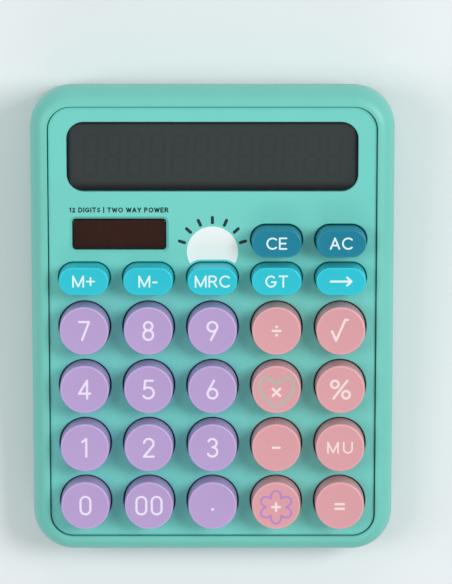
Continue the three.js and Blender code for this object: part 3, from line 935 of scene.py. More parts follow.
@dataclass(frozen=True)
class PlatedMetal(Finish):
    """Plated or bare metal with fine scratches and dull patches.

    Attributes:
        roughness: Mean roughness.
        wear: How the surface was worked.
    """

    roughness: float = 0.3
    wear: Wear = Wear.TUMBLED

    def inputs(self, graph: Graph) -> dict[str, Value]:
        """Draw the metal.

        Args:
            graph: The graph to draw it in.

        Returns:
            The shader's inputs.
        """
        ways = [way / stretch for way, stretch in zip(graph.axes(graph.place), self.wear.value)]
        scratches = graph.noise(2400, 3, graph.stretched(*ways))
        dull = graph.noise(420, 3)
        return {
            "Base_Color": graph.blend(dull, self.shade(0.82), self.shade(1.05)),
            "Roughness": self.roughness + (scratches - 0.5) * 0.25 + dull * 0.1,
            "Metallic": 1.0,
            "Normal": graph.bump(scratches, 0.000008),
        }


@dataclass(frozen=True)
class Elastomer(Finish):
    """Rubber with a matt bloom. Stripes show a zebra strip's alternate conducting layers.

    Attributes:
        stripe: Pitch of conducting layers in millimetres, or zero for plain rubber.
    """

    stripe: float = 0.0

    def inputs(self, graph: Graph) -> dict[str, Value]:
        """Draw the rubber.

        Args:
            graph: The graph to draw it in.

        Returns:
            The shader's inputs.
        """
        across, _, _ = graph.axes(graph.turned(DECK.matrix))
        bloom = graph.noise(500, 4)
        base = graph.blend(bloom, self.shade(0.8), self.shade(1.25))
        if self.stripe:
            from_layer = abs(across.modulo(self.stripe) - self.stripe / 2)
            layers = from_layer.fade(self.stripe * 0.22, self.stripe * 0.28)
            base = graph.blend(layers, colour(40, 38, 38), base)
        pits = graph.noise(3800, 2)
        return {"Base_Color": base, "Roughness": 0.72 + bloom * 0.16, "Normal": graph.bump(pits, 0.00002)}


@dataclass(frozen=True)
class Finishes:
    """Every finish of the calculator, made once.

    Attributes:
        made: The materials by name.
    """

    made: dict[str, bpy.types.Material] = field(default_factory=dict)

    def get(self, source: Finish) -> bpy.types.Material:
        """The material of a finish, made the first time it is asked for.

        Args:
            source: The finish.

        Returns:
            Its material.
        """
        if source.name not in self.made:
            graph = Graph(source.name)
            self.made[source.name] = graph.finish(**source.inputs(graph))
        return self.made[source.name]


FINISHES = Finishes()

SHELL = MouldedPlastic("mint_shell", colour(112, 200, 186), roughness=0.4, grain=0.000016)
PANEL = MouldedPlastic("mint_panel", colour(112, 205, 194), roughness=0.52, grain=0.00001)
TEAL_CAP = MouldedPlastic("dark_teal_cap", colour(0, 124, 150), roughness=0.36, grain=0.000005, coat=0.12)
CYAN_CAP = MouldedPlastic("cyan_cap", colour(34, 194, 210), roughness=0.36, grain=0.000005, coat=0.12)
PURPLE_CAP = MouldedPlastic("purple_cap", colour(183, 156, 206), roughness=0.38, grain=0.000005, coat=0.12)
PINK_CAP = MouldedPlastic("pink_cap", colour(220, 157, 163), roughness=0.38, grain=0.000005, coat=0.12)
BLACK_PLASTIC = MouldedPlastic("black_plastic", colour(34, 35, 37), roughness=0.5, grain=0.00002)
EPOXY = MouldedPlastic("black_epoxy", colour(20, 20, 22), roughness=0.28, grain=0.00003, grain_scale=700)
RED_WIRE = MouldedPlastic("red_wire", colour(180, 40, 32), roughness=0.45)
BLACK_WIRE = MouldedPlastic("black_wire", colour(28, 28, 30), roughness=0.45)
# Both windows get a printed dark border, widened along the front edge by painted shade.
LENS = SmokedWindow("tinted_lens", colour(58, 63, 63), 0.6, "display_window", border=1.3)
SOLAR_COVER = SmokedWindow("solar_cover", colour(58, 20, 6), 0.4, "solar_window", border=0.5, roughness=0.06)
DISPLAY_GLASS = LiquidCrystal("display_glass", colour(124, 131, 128))
SILICON = SolarSilicon("solar_silicon", colour(62, 21, 6))
LAMINATE = CircuitLaminate("circuit_board", colour(24, 98, 58))
CAN = PlatedMetal("capacitor_can", colour(150, 152, 156), wear=Wear.ROLLED)
CELL_STEEL = PlatedMetal("cell_steel", colour(200, 198, 192), roughness=0.24)
SPRING_STRIP = PlatedMetal("spring_strip", colour(206, 198, 180), roughness=0.28, wear=Wear.DRAWN)
ZINC = PlatedMetal("zinc_screw", colour(186, 190, 196), roughness=0.32)
ZEBRA = Elastomer("elastomer", colour(206, 178, 172), stripe=0.4)
FOOT_RUBBER = Elastomer("foot_rubber", colour(44, 44, 46))
PALE_PINK_INK = Ink("pale_pink_legend", colour(244, 222, 220))
LILAC_INK = Ink("pale_lilac_legend", colour(236, 224, 246))
WHITE_INK = Ink("white_legend", colour(226, 246, 248))
SAGE_INK = Ink("sage_legend", colour(176, 182, 170))
MAUVE_INK = Ink("mauve_legend", colour(186, 132, 198))
DARK_INK = Ink("dark_print", colour(18, 48, 50))
SEGMENT_INK = Ink("faint_segments", colour(84, 90, 88))
WHITE_PRINT = Ink("white_print", colour(236, 242, 240))


# ---- Geometry Nodes ----


class NodeTree(NodeGraph):
    """A Geometry Nodes tree that turns a source mesh into a finished one."""

    def __init__(self, name: str) -> None:
        """Start a tree with one geometry in and one out.

        Args:
            name: The tree's name.
        """
        super().__init__(bpy.data.node_groups.new(name, "GeometryNodeTree"))
        for way in ("INPUT", "OUTPUT"):
            self.tree.interface.new_socket("Geometry", in_out=way, socket_type="NodeSocketGeometry")
        self.start = self.add("NodeGroupInput")
        self.source = Wire(self, self.start.outputs[0])
        self.identifiers: dict[str, str] = {}

    def size(self, name: str, kind: str = "NodeSocketFloat") -> Wire:
        """Add a named input.

        Args:
            name: Its name.
            kind: The type of its socket.

        Returns:
            What it carries.
        """
        made = self.tree.interface.new_socket(name, in_out="INPUT", socket_type=kind)
        self.identifiers[name] = made.identifier
        return Wire(self, next(s for s in self.start.outputs if s.identifier == made.identifier))

    def shifted(self, geometry: Wire, up: Wire) -> Wire:
        """A geometry raised by a height."""
        offset = self.wire("ShaderNodeCombineXYZ", {2: up})
        return self.wire("GeometryNodeTransform", {"Geometry": geometry, "Translation": offset})

    def union(self, *parts: Wire) -> Wire:
        """Closed geometries joined to one skin."""
        return self.boolean({"Mesh 2": list(parts)}, Join.UNION)

    def boolean(self, values: dict[str, Value], join: Join) -> Wire:
        """Closed geometries combined by an exact boolean."""
        return self.wire("GeometryNodeMeshBoolean", values, operation=join.value, solver="EXACT")

    def scatter(self, points: Wire, instance: Wire, **more: Wire) -> Wire:
        """One instance on each point."""
        return self.wire("GeometryNodeInstanceOnPoints", {"Points": points, "Instance": instance, **more})

    def close(self, geometry: Wire, material: bpy.types.Material) -> None:
        """End the tree: realize what is instanced and give it its material.

        Args:
            geometry: What it made.
            material: The finish of all of it.
        """
        real = self.wire("GeometryNodeRealizeInstances", {0: geometry})
        dressed = self.wire("GeometryNodeSetMaterial", {"Geometry": real, "Material": material})
        self.add("NodeGroupOutput", {0: dressed})

    def run(self, source: bpy.types.Mesh, **sizes: float) -> Solid:
        """Work the tree out on a source mesh.

        Args:
            source: The mesh it starts from.
            **sizes: Values of its named inputs.

        Returns:
            The result as a plain solid.
        """
        carrier = bpy.data.objects.new("carrier", source)
        bpy.context.scene.collection.objects.link(carrier)
        modifier = carrier.modifiers.new("nodes", "NODES")
        modifier.node_group = self.tree
        for name, value in sizes.items():
            modifier[self.identifiers[name]] = value
        result = evaluated_mesh(carrier)
        carrier.modifiers.remove(modifier)
        bpy.data.objects.remove(carrier)
        return Solid(result)


def points_mesh(places: Iterable[Vector]) -> bpy.types.Mesh:
    """A mesh of loose points, for a tree to put something on."""
    mesh = bpy.data.meshes.new("points")
    mesh.from_pydata([tuple(place) for place in places], [], [])
    return mesh


# ---- Drawn marks ----


@dataclass(frozen=True)
class Line:
    """Straight marks from point to point, with round joins.

    Attributes:
        points: Where it starts, turns and ends.
    """

    points: tuple[Point, ...]

    def strokes(self) -> list[list[Point]]:
        """Each stretch as its own stroke."""
        return [[a, b] for a, b in zip(self.points, self.points[1:])]


@dataclass(frozen=True)
class Arc:
    """Part of a circle or an ellipse.

    Attributes:
        centre: Its middle.
        radii: Its radii across and up.
        start: Where it starts, in degrees.
        end: Where it ends, in degrees.
    """

    centre: Point
    radii: Point
    start: float = 0.0
    end: float = 360.0

    def strokes(self) -> list[list[Point]]:
        """The arc as one stroke.

        Returns:
            The stroke in a list of its own.
        """
        steps = max(6, round(abs(self.end - self.start) / 9))
        points = []
        for step in range(steps + 1):
            angle = math.radians(self.start + (self.end - self.start) * step / steps)
            x = self.centre[0] + self.radii[0] * math.cos(angle)
            y = self.centre[1] + self.radii[1] * math.sin(angle)
            points.append((x, y))
        return [points]


Mark = Line | Arc


@dataclass(frozen=True)
class Glyph:
    """A letter, a digit or a sign on a height of one, between its baseline and its top.

    Attributes:
        width: Its width.
        marks: The marks it is drawn with.
    """

    width: float
    marks: tuple[Mark, ...]


def round_arc(x: float, y: float, radius: float, start: float = 0.0, end: float = 360.0) -> Arc:
    """Part of a circle."""
    return Arc((x, y), (radius, radius), start, end)


GLYPHS: dict[str, Glyph] = {
    "0": Glyph(0.54, (
        round_arc(0.27, 0.73, 0.27, 0, 180), Line(((0, 0.73), (0, 0.27))),
        round_arc(0.27, 0.27, 0.27, 180, 360), Line(((0.54, 0.27), (0.54, 0.73))),
    )),
    "1": Glyph(0.30, (Line(((0.0, 0.82), (0.22, 1), (0.22, 0))),)),
    "2": Glyph(0.54, (round_arc(0.27, 0.735, 0.265, 172, -34), Line(((0.49, 0.587), (0, 0), (0.54, 0))))),
    "3": Glyph(0.53, (round_arc(0.26, 0.767, 0.233, 155, -90), round_arc(0.26, 0.267, 0.267, 90, -155))),
    "4": Glyph(0.60, (Line(((0.44, 0), (0.44, 1), (0, 0.27), (0.6, 0.27))),)),
    "5": Glyph(0.58, (Line(((0.52, 1), (0.11, 1), (0.06, 0.53))), round_arc(0.27, 0.31, 0.31, 133, -145))),
    "6": Glyph(0.54, (round_arc(0.27, 0.267, 0.267), Line(((0.02, 0.36), (0.35, 1))))),
    "7": Glyph(0.54, (Line(((0, 1), (0.54, 1), (0.16, 0))),)),
    "8": Glyph(0.54, (round_arc(0.27, 0.767, 0.233), round_arc(0.27, 0.267, 0.267))),
    "9": Glyph(0.54, (round_arc(0.27, 0.733, 0.267), Line(((0.52, 0.64), (0.19, 0))))),
    "A": Glyph(0.80, (Line(((0, 0), (0.4, 1), (0.8, 0))), Line(((0.13, 0.32), (0.67, 0.32))))),
    "C": Glyph(0.84, (round_arc(0.5, 0.5, 0.5, 47, 313),)),
    "D": Glyph(0.80, (Line(((0.3, 0), (0, 0), (0, 1), (0.3, 1))), round_arc(0.3, 0.5, 0.5, 90, -90))),
    "E": Glyph(0.62, (Line(((0.62, 0), (0, 0), (0, 1), (0.62, 1))), Line(((0, 0.5), (0.55, 0.5))))),
    "G": Glyph(0.90, (Arc((0.45, 0.5), (0.45, 0.5), 48, 352), Line(((0.9, 0.44), (0.52, 0.44))))),
    "I": Glyph(0.0, (Line(((0, 0), (0, 1))),)),
    "M": Glyph(0.95, (Line(((0, 0), (0, 1), (0.475, 0.04), (0.95, 1), (0.95, 0))),)),
    "O": Glyph(0.96, (Arc((0.48, 0.5), (0.48, 0.5)),)),
    "P": Glyph(0.62, (
        Line(((0, 0), (0, 1), (0.36, 1))), round_arc(0.36, 0.74, 0.26, 90, -90),
        Line(((0.36, 0.48), (0, 0.48))),
    )),
    "R": Glyph(0.68, (
        Line(((0, 0), (0, 1), (0.38, 1))), round_arc(0.38, 0.745, 0.255, 90, -90),
        Line(((0.38, 0.49), (0, 0.49))), Line(((0.36, 0.49), (0.68, 0))),
    )),
    "S": Glyph(0.60, (Arc((0.3, 0.75), (0.27, 0.25), 25, 270), Arc((0.3, 0.25), (0.29, 0.25), 90, -155))),
    "T": Glyph(0.74, (Line(((0, 1), (0.74, 1))), Line(((0.37, 1), (0.37, 0))))),
    "U": Glyph(0.78, (
        Line(((0, 1), (0, 0.39))), round_arc(0.39, 0.39, 0.39, 180, 360), Line(((0.78, 0.39), (0.78, 1))),
    )),
    "W": Glyph(1.10, (Line(((0, 1), (0.28, 0), (0.55, 0.92), (0.82, 0), (1.1, 1))),)),
    "Y": Glyph(0.76, (Line(((0, 1), (0.38, 0.46), (0.76, 1))), Line(((0.38, 0.46), (0.38, 0))))),
    "+": Glyph(0.70, (Line(((0, 0.5), (0.7, 0.5))), Line(((0.35, 0.15), (0.35, 0.85))))),
    "-": Glyph(0.36, (Line(((0, 0.42), (0.36, 0.42))),)),
    "|": Glyph(0.0, (Line(((0, -0.12), (0, 1.12))),)),
    " ": Glyph(0.12, ()),
}


@dataclass(frozen=True)
class Drawing:
    """Marks in millimetres about the middle of where they go, drawn with one width of line.

    Attributes:
        strokes: The runs of points that it is made of.
        width: Width of the line.
    """

    strokes: tuple[tuple[Point, ...], ...]
    width: float

    @classmethod
    def word(cls, text: str, height: float, width: float, spacing: float) -> Drawing:
        """Letters or digits in a row.

        Args:
            text: What it says.
            height: From baseline to top, between the middles of the lines.
            width: Width of the line.
            spacing: Clear space between neighbours, between the middles of the lines.

        Returns:
            The drawing.
        """
        glyphs = [GLYPHS[letter] for letter in text]
        total = sum(glyph.width * height for glyph in glyphs) + spacing * (len(glyphs) - 1)
        x = -total / 2
        strokes = []
        for glyph in glyphs:
            for mark in glyph.marks:
                for stroke in mark.strokes():
                    strokes.append(tuple((x + u * height, (v - 0.5) * height) for u, v in stroke))
            x += glyph.width * height + spacing
        return cls(tuple(strokes), width)

    @classmethod
    def marks(cls, width: float, *marks: Mark) -> Drawing:
        """Marks given in millimetres."""
        return cls(tuple(tuple(stroke) for mark in marks for stroke in mark.strokes()), width)

    def mesh(self, lift: float = 0.004) -> bpy.types.Mesh:
        """The strokes as chains of edges, each a hair higher than the last.

        Args:
            lift: How much higher each stroke is than the one before, in millimetres.

        Returns:
            A mesh of edges.
        """
        places, edges = [], []
        for index, stroke in enumerate(self.strokes):
            closed = len(stroke) > 2 and math.dist(stroke[0], stroke[-1]) < 1e-6
            points = stroke[:-1] if closed else stroke
            first = len(places)
            places += [(x, y, index * lift) for x, y in points]
            edges += [(first + i, first + i + 1) for i in range(len(points) - 1)]
            if closed:
                edges.append((len(places) - 1, first))
        mesh = bpy.data.meshes.new("strokes")
        mesh.from_pydata(places, edges, [])
        return mesh


@dataclass(frozen=True)
class StrokeMaker:
    """Turns drawings into flat inlaid lines with round ends.

    Attributes:
        thickness: Height of the line before it is laid on its surface.
        step: Length of each stretch, so that a line can follow a dished surface.
        sides: Sides of a round end.
        trees: The trees by the name of their material.
    """

    thickness: float = 0.2
    step: float = 0.45
    sides: int = 24
    trees: dict[str, NodeTree] = field(default_factory=dict)

    def tree(self, material: bpy.types.Material) -> NodeTree:
        """The tree that draws in one material, built the first time it is asked for.

        Args:
            material: What the lines are made of.

        Returns:
            The tree.
        """
        if material.name in self.trees:
            return self.trees[material.name]
        tree = NodeTree(f"strokes_{material.name}")
        width, thickness, step = tree.size("Width"), tree.size("Thickness"), tree.size("Step")
        sides = tree.size("Sides", "NodeSocketInt")
        path = tree.wire("GeometryNodeMeshToCurve", {"Mesh": tree.source})
        even = tree.wire("GeometryNodeResampleCurve", {"Curve": path, "Length": step}, mode="LENGTH")
        upright = tree.wire("GeometryNodeSetCurveNormal", {"Curve": even}, mode="Z_UP")
        section = {"Width": width, "Height": thickness}
        profile = tree.wire("GeometryNodeCurvePrimitiveQuadrilateral", section, mode="RECTANGLE")
        swept = {"Curve": upright, "Profile Curve": profile, "Fill Caps": True}
        bars = tree.wire("GeometryNodeCurveToMesh", swept)
        round_end = {"Vertices": sides, "Radius": width * 0.5, "Depth": thickness + 0.002}
        disc = tree.wire("GeometryNodeMeshCylinder", round_end)
        ends = tree.wire("GeometryNodeCurveEndpointSelection", {"Start Size": 1, "End Size": 1})
        caps = tree.wire("GeometryNodeRealizeInstances", {0: tree.scatter(even, disc, Selection=ends)})
        both = tree.wire("GeometryNodeJoinGeometry", {0: [bars, caps]})
        tree.close(tree.boolean({"Mesh 2": both, "Self Intersection": True}, Join.UNION), material)
        self.trees[material.name] = tree
        return tree

    def lay(
        self,
        drawing: Drawing,
        ink: Ink,
        centre: Point,
        surface: Callable[[float, float], float] = lambda x, y: 0.0,
        proud: float = 0.02,
        sunk: float = 0.1,
    ) -> Solid:
        """Draw something on a surface, following its shape.

        Args:
            drawing: What to draw.
            ink: What it is drawn in.
            centre: Where its middle goes.
            surface: Height of the surface at a distance from there. It is flat when none is given.
            proud: How far the line stands out of the surface.
            sunk: How far it reaches into it.

        Returns:
            The inlaid lines.
        """
        tree = self.tree(FINISHES.get(ink))
        sizes = {"Width": drawing.width, "Thickness": self.thickness, "Step": self.step, "Sides": self.sides}
        solid = tree.run(drawing.mesh(), **sizes)
        for vertex in solid.mesh.vertices:
            level = surface(vertex.co.x, vertex.co.y)
            vertex.co.z = level + (proud if vertex.co.z > 0 else -sunk)
        return solid.moved(Matrix.Translation((centre[0], centre[1], 0)))


STROKES = StrokeMaker()
SHARP = 20.0  # edges of thin print that turn more than this many degrees are sharp


# ---- The keys ----


@dataclass(frozen=True)
class KeyCap:
    """One key: a hollow cap with a dished top, drafted sides and the stem that enters its switch.

    Attributes:
        node: The CAD node and body of the key.
        plastic: What it is moulded in.
        flare: How much wider the foot is than the top, on each side.
        clearance: Between the foot and the hole in the face plate.
        edge: Radius of the round between the top and the sides.
        dish: Depth of the hollow in the top.
        wall: Thickness of the sides.
        ceiling: Thickness of the top.
        skirt: How far the sides stand in their hole.
        foot_round: Radius of the rounds at the foot.
        stem_radius: Radius of the stem.
        web: Radius of the rounds inside and at the stem's end.
        crest: Where the painted highlight on the edge has faded into the dish, as a share of the dish's
            radius.
        highlight: How far down the round of the top the painted highlight goes, as a share of its radius.
    """

    node: str
    plastic: MouldedPlastic
    flare: float = 0.18
    clearance: float = 0.4
    edge: float = 0.5
    dish: float = 0.4
    wall: float = 1.1
    ceiling: float = 1.6
    skirt: float = 1.0
    foot_round: float = 0.15
    stem_radius: float = 1.6
    web: float = 0.4
    crest: float = 0.985
    rubbed: float = 0.9

    @property
    def centre(self) -> Point:
        """The middle of the key on the deck."""
        return middle_of(self.node)

    @property
    def foot(self) -> Outline:
        """The outline of the foot of the cap."""
        low, high = DECK.box(self.node)
        depth = high.y - low.y
        return Outline(high.x - low.x, depth, depth / 2, self.centre, 20)

    @property
    def hole(self) -> Outline:
        """The hole in the face plate that the cap works in."""
        return self.foot.grown(self.clearance)

    @property
    def top(self) -> float:
        """Height of the rim of the cap."""
        return DECK.box(self.node)[1].z

    @property
    def reach(self) -> float:
        """Radius of the dish in the round end of the top."""
        return self.foot.radius - self.flare - self.edge

    def away(self, place: Vector) -> float:
        """How far a place is from the middle of the round end it is in."""
        foot = self.foot
        across = abs(place.x - self.centre[0]) - (foot.width / 2 - foot.radius)
        return math.hypot(max(0.0, across), place.y - self.centre[1])

    def surface(self, x: float, y: float) -> float:
        """Height of the dished top at a distance from its middle."""
        away = self.away(Vector((self.centre[0] + x, self.centre[1] + y, 0)))
        return self.top - self.dish * max(0.0, 1 - (away / self.reach) ** 2)

    def is_highlighted(self, place: Vector) -> bool:
        """Whether a place is on the edge of the top that carries a painted highlight."""
        return place.z > self.top - self.rubbed * self.edge and self.away(place) > self.reach - NEAR

    def inner_rings(self) -> list[Ring]:
        """Go round the stem and the hollow of the cap.

        Returns:
            The rings, from the end of the stem to the foot.
        """
        foot, web, lip = self.foot, self.web, self.foot_round
        stem_low = DECK.box(self.node)[0].z
        ceiling = self.top - self.ceiling
        stem = Outline.circle(self.stem_radius, self.centre, foot.segments)
        inside = -self.flare - self.wall
        rings = [stem.grown(-web).ring(stem_low), stem.ring(stem_low + web)]
        rings += fillet(stem, (0, ceiling - web), (web, ceiling), (0, ceiling), 4)
        rings += fillet(foot, (inside - web, ceiling), (inside, ceiling - web), (inside, ceiling), 4)
        rings.append(foot.grown(-self.wall).ring(lip - self.skirt))
        rings.append(foot.grown(lip - self.wall).ring(-self.skirt))
        return rings

    def outer_rings(self) -> list[Ring]:
        """Go round the side and the dished top.

        Returns:
            The rings, from the foot to the middle of the dish.
        """
        foot, lip, skirt, rim = self.foot, self.foot_round, -self.skirt, -self.flare
        rings = fillet(foot, (-lip, skirt), (0, skirt + lip), (0, skirt), 3)
        rings += fillet(foot, (rim, self.top - self.edge), (rim - self.edge, self.top), (rim, self.top), 8)
        steps = 7
        for share in (self.crest, *(1 - step / (steps + 0.3) for step in range(1, steps + 1))):
            height = self.top - self.dish * (1 - share**2)
            rings.append(foot.grown(rim - self.edge - self.reach * (1 - share)).ring(height))
        return rings

    def solid(self) -> Solid:
        """The cap and its stem as one skin."""
        # The top edge is marked for a painted highlight, which its plastic lightens.
        return Solid.loft(self.inner_rings() + self.outer_rings()).painted_highlight(self.is_highlighted)


def oval_cap(node: str, plastic: MouldedPlastic) -> KeyCap:
    """A short oval key, as in the two rear rows."""
    return KeyCap(node, plastic, flare=0.2, clearance=0.3, edge=0.45, dish=0.25)


LETTER = {"height": 3.4, "width": 0.52, "spacing": 1.1}
DIGIT = {"height": 5.8, "width": 0.72, "spacing": 1.75}
SMALL_PRINT = {"height": 1.3, "width": 0.36, "spacing": 0.54}
SIGN_WIDTH = 0.76
DOT = 1 / 6  # radius of the ring of line that makes a dot of the division sign


def bar(half: float, y: float) -> Line:
    """A level bar, half of it on each side of the middle."""
    return Line(((-half, y), (half, y)))


def chevron(tip: float, back: float, half: float) -> Line:
    """The head of an arrow that points right."""
    return Line(((tip - back, half), (tip, 0), (tip - back, -half)))


def heart(width: float, height: float, middle: float) -> Line:
    """The outline of a heart, from the usual curve of sines and cosines, with a soft tip and a soft notch.

    Args:
        width: Size across.
        height: Size up the face.
        middle: Height of its middle.

    Returns:
        Its outline as one run of short lines.
    """
    points = []
    steps = 72
    slimness = 1.75  # 3 in the usual curve, whose tip is sharp
    for step in range(steps + 1):
        angle = 2 * math.pi * step / steps
        x = 16 * math.copysign(abs(math.sin(angle)) ** slimness, math.sin(angle))
        y = 13 * math.cos(angle) - 5 * math.cos(2 * angle) - 2 * math.cos(3 * angle) - math.cos(4 * angle)
        points.append((x * width / 32, (y + 2.5) * height / 29 + middle))
    return Line(tuple(points))


def rosette(petals: int, notch: float, tip: float, centre: Point) -> tuple[Point, ...]:
    """The closed outline of a flower with round petals and sharp notches between them.

    Args:
        petals: How many petals it has.
        notch: From its middle to a notch.
        tip: From its middle to the tip of a petal.
        centre: Its middle.

    Returns:
        Its outline, which ends where it starts.
    """
    points = []
    steps = petals * 16
    roundness = 0.75  # the lower, the broader the petals
    for step in range(steps + 1):
        angle = math.pi / 2 + 2 * math.pi * (step % steps) / steps
        reach = notch + (tip - notch) * abs(math.cos((angle - math.pi / 2) * petals / 2)) ** roundness
        points.append((centre[0] + reach * math.cos(angle), centre[1] + reach * math.sin(angle)))
    return tuple(points)


@dataclass(frozen=True)
class Motif:
    """An outline drawn round a key's sign.

    Attributes:
        name: What it shows.
        ink: Its colour.
        drawing: Its lines.
    """

    name: str
    ink: Ink
    drawing: Drawing


@dataclass
class KeyField:
    """All the keys, with their legends and the two drawn motifs.

    Attributes:
        caps: The keys by name.
    """

    caps: dict[str, KeyCap] = field(default_factory=dict)

    def __post_init__(self) -> None:
        """Give every key its form and its plastic."""
        for name in ("key_clear_entry", "key_all_clear"):
            self.caps[name] = oval_cap(name, TEAL_CAP)
        for name in ("memory_add", "memory_subtract", "memory_recall", "grand_total", "backspace"):
            self.caps[f"key_{name}"] = oval_cap(f"key_{name}", CYAN_CAP)
        for name in ("0", "00", "decimal_point", "1", "2", "3", "4", "5", "6", "7", "8", "9"):
            self.caps[f"key_{name}"] = KeyCap(f"key_{name}", PURPLE_CAP)
        for name in ("add", "equals", "subtract", "mark_up", "multiply", "percent", "divide", "square_root"):
            self.caps[f"key_{name}"] = KeyCap(f"key_{name}", PINK_CAP)

    def legends(self) -> dict[str, Drawing]:
        """Draw what stands on each key.

        Returns:
            The drawings by key.
        """
        words = {
            "clear_entry": "CE",
            "all_clear": "AC",
            "memory_add": "M+",
            "memory_subtract": "M-",
            "memory_recall": "MRC",
            "grand_total": "GT",
            "mark_up": "MU",
        }
        drawn = {f"key_{name}": Drawing.word(text, **LETTER) for name, text in words.items()}
        drawn["key_mark_up"] = Drawing.word(words["mark_up"], **(LETTER | {"spacing": 1.8}))
        for digits in ("0", "00", "1", "2", "3", "4", "5", "6", "7", "8", "9"):
            drawn[f"key_{digits}"] = Drawing.word(digits, **DIGIT)
        drawn["key_backspace"] = Drawing.marks(0.66, Line(((-3.27, 0), (3.27, 0))), chevron(3.27, 1.37, 1.3))
        signs = {
            "divide": (bar(1.2, 0), round_arc(0, 1.32, DOT), round_arc(0, -1.32, DOT)),
            "square_root": (Line(((-2.76, -0.14), (-1.43, -3.1), (1.4, 3.6), (2.2, 3.6))),),
            "multiply": (Line(((-1.15, -2.05), (1.15, 0.25))), Line(((-1.15, 0.25), (1.15, -2.05)))),
            "percent": (
                round_arc(-1.75, 1.7, 1.2), round_arc(1.8, -1.7, 1.2), Line(((2.2, 2.9), (-2.15, -2.9)))
            ),
            "subtract": (bar(1.05, 0),),
            "add": (bar(1.25, -0.5), Line(((0, -1.75), (0, 0.75)))),
            "equals": (bar(1.35, 0.45), bar(1.35, -1.05)),
            "decimal_point": (round_arc(0, -1.2, 0.18),),
        }
        drawn |= {f"key_{name}": Drawing.marks(SIGN_WIDTH, *marks) for name, marks in signs.items()}
        return drawn

    def motifs(self) -> dict[str, Motif]:
        """Draw the outlines round the multiplication and addition signs.

        Returns:
            The motifs by key.
        """
        outline = heart(10.9, 9.9, -1.0).points
        petals = (rosette(6, 3.0, 5.4, (0, -0.5)),)
        return {
            "key_multiply": Motif("heart", SAGE_INK, Drawing((outline,), 0.8)),
            "key_add": Motif("flower", MAUVE_INK, Drawing(petals, 0.66)),
        }

    def ink(self, cap: KeyCap) -> Ink:
        """The colour of a key's legend."""
        return {"purple_cap": LILAC_INK, "pink_cap": PALE_PINK_INK}.get(cap.plastic.name, WHITE_INK)

    def build(self) -> None:
        """Make every cap, its legend and its motif."""
        legends, motifs = self.legends(), self.motifs()
        for name, cap in self.caps.items():
            plastic = cap.plastic
            cap.solid().place(f"{name}_cap", FINISHES.get(plastic), name, plastic.name, [name], crease=50)
            ink = self.ink(cap)
            marks = STROKES.lay(legends[name], ink, cap.centre, cap.surface)
            marks.place(f"{name}_legend", FINISHES.get(ink), name, plastic.name, crease=SHARP)
            if name in motifs:
                motif = motifs[name]
                marks = STROKES.lay(motif.drawing, motif.ink, cap.centre, cap.surface, proud=0.015)
                piece = f"{name}_{motif.name}"
                marks.place(piece, FINISHES.get(motif.ink), name, plastic.name, crease=SHARP)


# ---- The case ----


SIDES = ("front_left", "front_right", "rear_left", "rear_right")


@dataclass
class UpperShell:
    """The rounded rim band with the shelf that carries the face plate.

    Attributes:
        corner: Corner radius of the widest outline.
        seam: Height of its lower edge.
        round_height: Height of the rounded band.
        lip: Flat crest beside the recess.
        edge: Radius of the small rounds at its edges.
        ledge: Depth of the shelf.
        ledge_thickness: Thickness of the shelf.
        plate_thickness: Thickness of the face plate that lies on it.
        wall: Thickness of the side.
        skin: What is left of the side beside the tongue of the lower shell.
        rabbet: Height of that thin stretch.
        boss_radius: Radius of the screw bosses.
        pilot_radius: Radius of their holes.
        inside: How much shorter than the CAD shell the finer one is, so that it stays in its box.
    """

    corner: float = 13.0
    seam: float = -9.0
    round_height: float = 8.0
    lip: float = 0.4
    edge: float = 0.25
    ledge: float = 3.0
    ledge_thickness: float = 2.0
    plate_thickness: float = 2.0
    wall: float = 2.2
    skin: float = 1.1
    rabbet: float = 1.8
    boss_radius: float = 2.7
    pilot_radius: float = 1.4
    inside: float = 0.1

    @property
    def outline(self) -> Outline:
        """The widest outline of the case."""
        low, high = DECK.box("upper_housing")
        return Outline(high.x - low.x, high.y - low.y - self.inside, self.corner, segments=22)

    @property
    def rim(self) -> float:
        """From the widest outline to the recess of the face."""
        low, high = DECK.box("face_plate")
        return (self.outline.width - (high.x - low.x)) / 2 - GAP

    def build(self) -> None:
        """Make the shell with its bosses."""
        low, high = DECK.box("upper_housing")
        outline, crest, rim, edge = self.outline, high.z, self.rim, self.edge
        rings = fillet(outline, (-edge, self.seam), (0, self.seam + edge), (0, self.seam), 3)
        start = (0, crest - self.round_height)
        rings += fillet(outline, start, (self.lip - rim, crest), (0, crest), 26)
        rings += fillet(outline, (edge - rim, crest), (-rim, crest - edge), (-rim, crest), 4)
        ledge_top = -self.plate_thickness - GAP
        ledge_low = ledge_top - self.ledge_thickness
        rabbet_top = self.seam + self.rabbet
        inner = [
            (-rim, ledge_top),
            (-rim - self.ledge, ledge_top),
            (-rim - self.ledge, ledge_low),
            (-self.wall, ledge_low),
            (-self.wall, rabbet_top),
            (-self.skin, rabbet_top),
            (-self.skin, self.seam),
        ]
        rings += [outline.grown(growth).ring(height) for growth, height in inner]
        places = [middle_of(f"case_screw_{side}") for side in SIDES]
        boss_top = (ledge_top + ledge_low) / 2
        screw_top = DECK.box("case_screw_front_left")[1].z + GAP
        bosses = [Solid.slab(Outline.circle(self.boss_radius, p, 8), low.z, boss_top) for p in places]
        pilots = [Solid.slab(Outline.circle(self.pilot_radius, p, 6), low.z - 1, screw_top) for p in places]
        shell = Solid.loft(rings, loop=True).joined(*bosses).cut(*pilots)
        shell.place("upper_shell", FINISHES.get(SHELL), CASE, "mint_shell", ["upper_housing"])


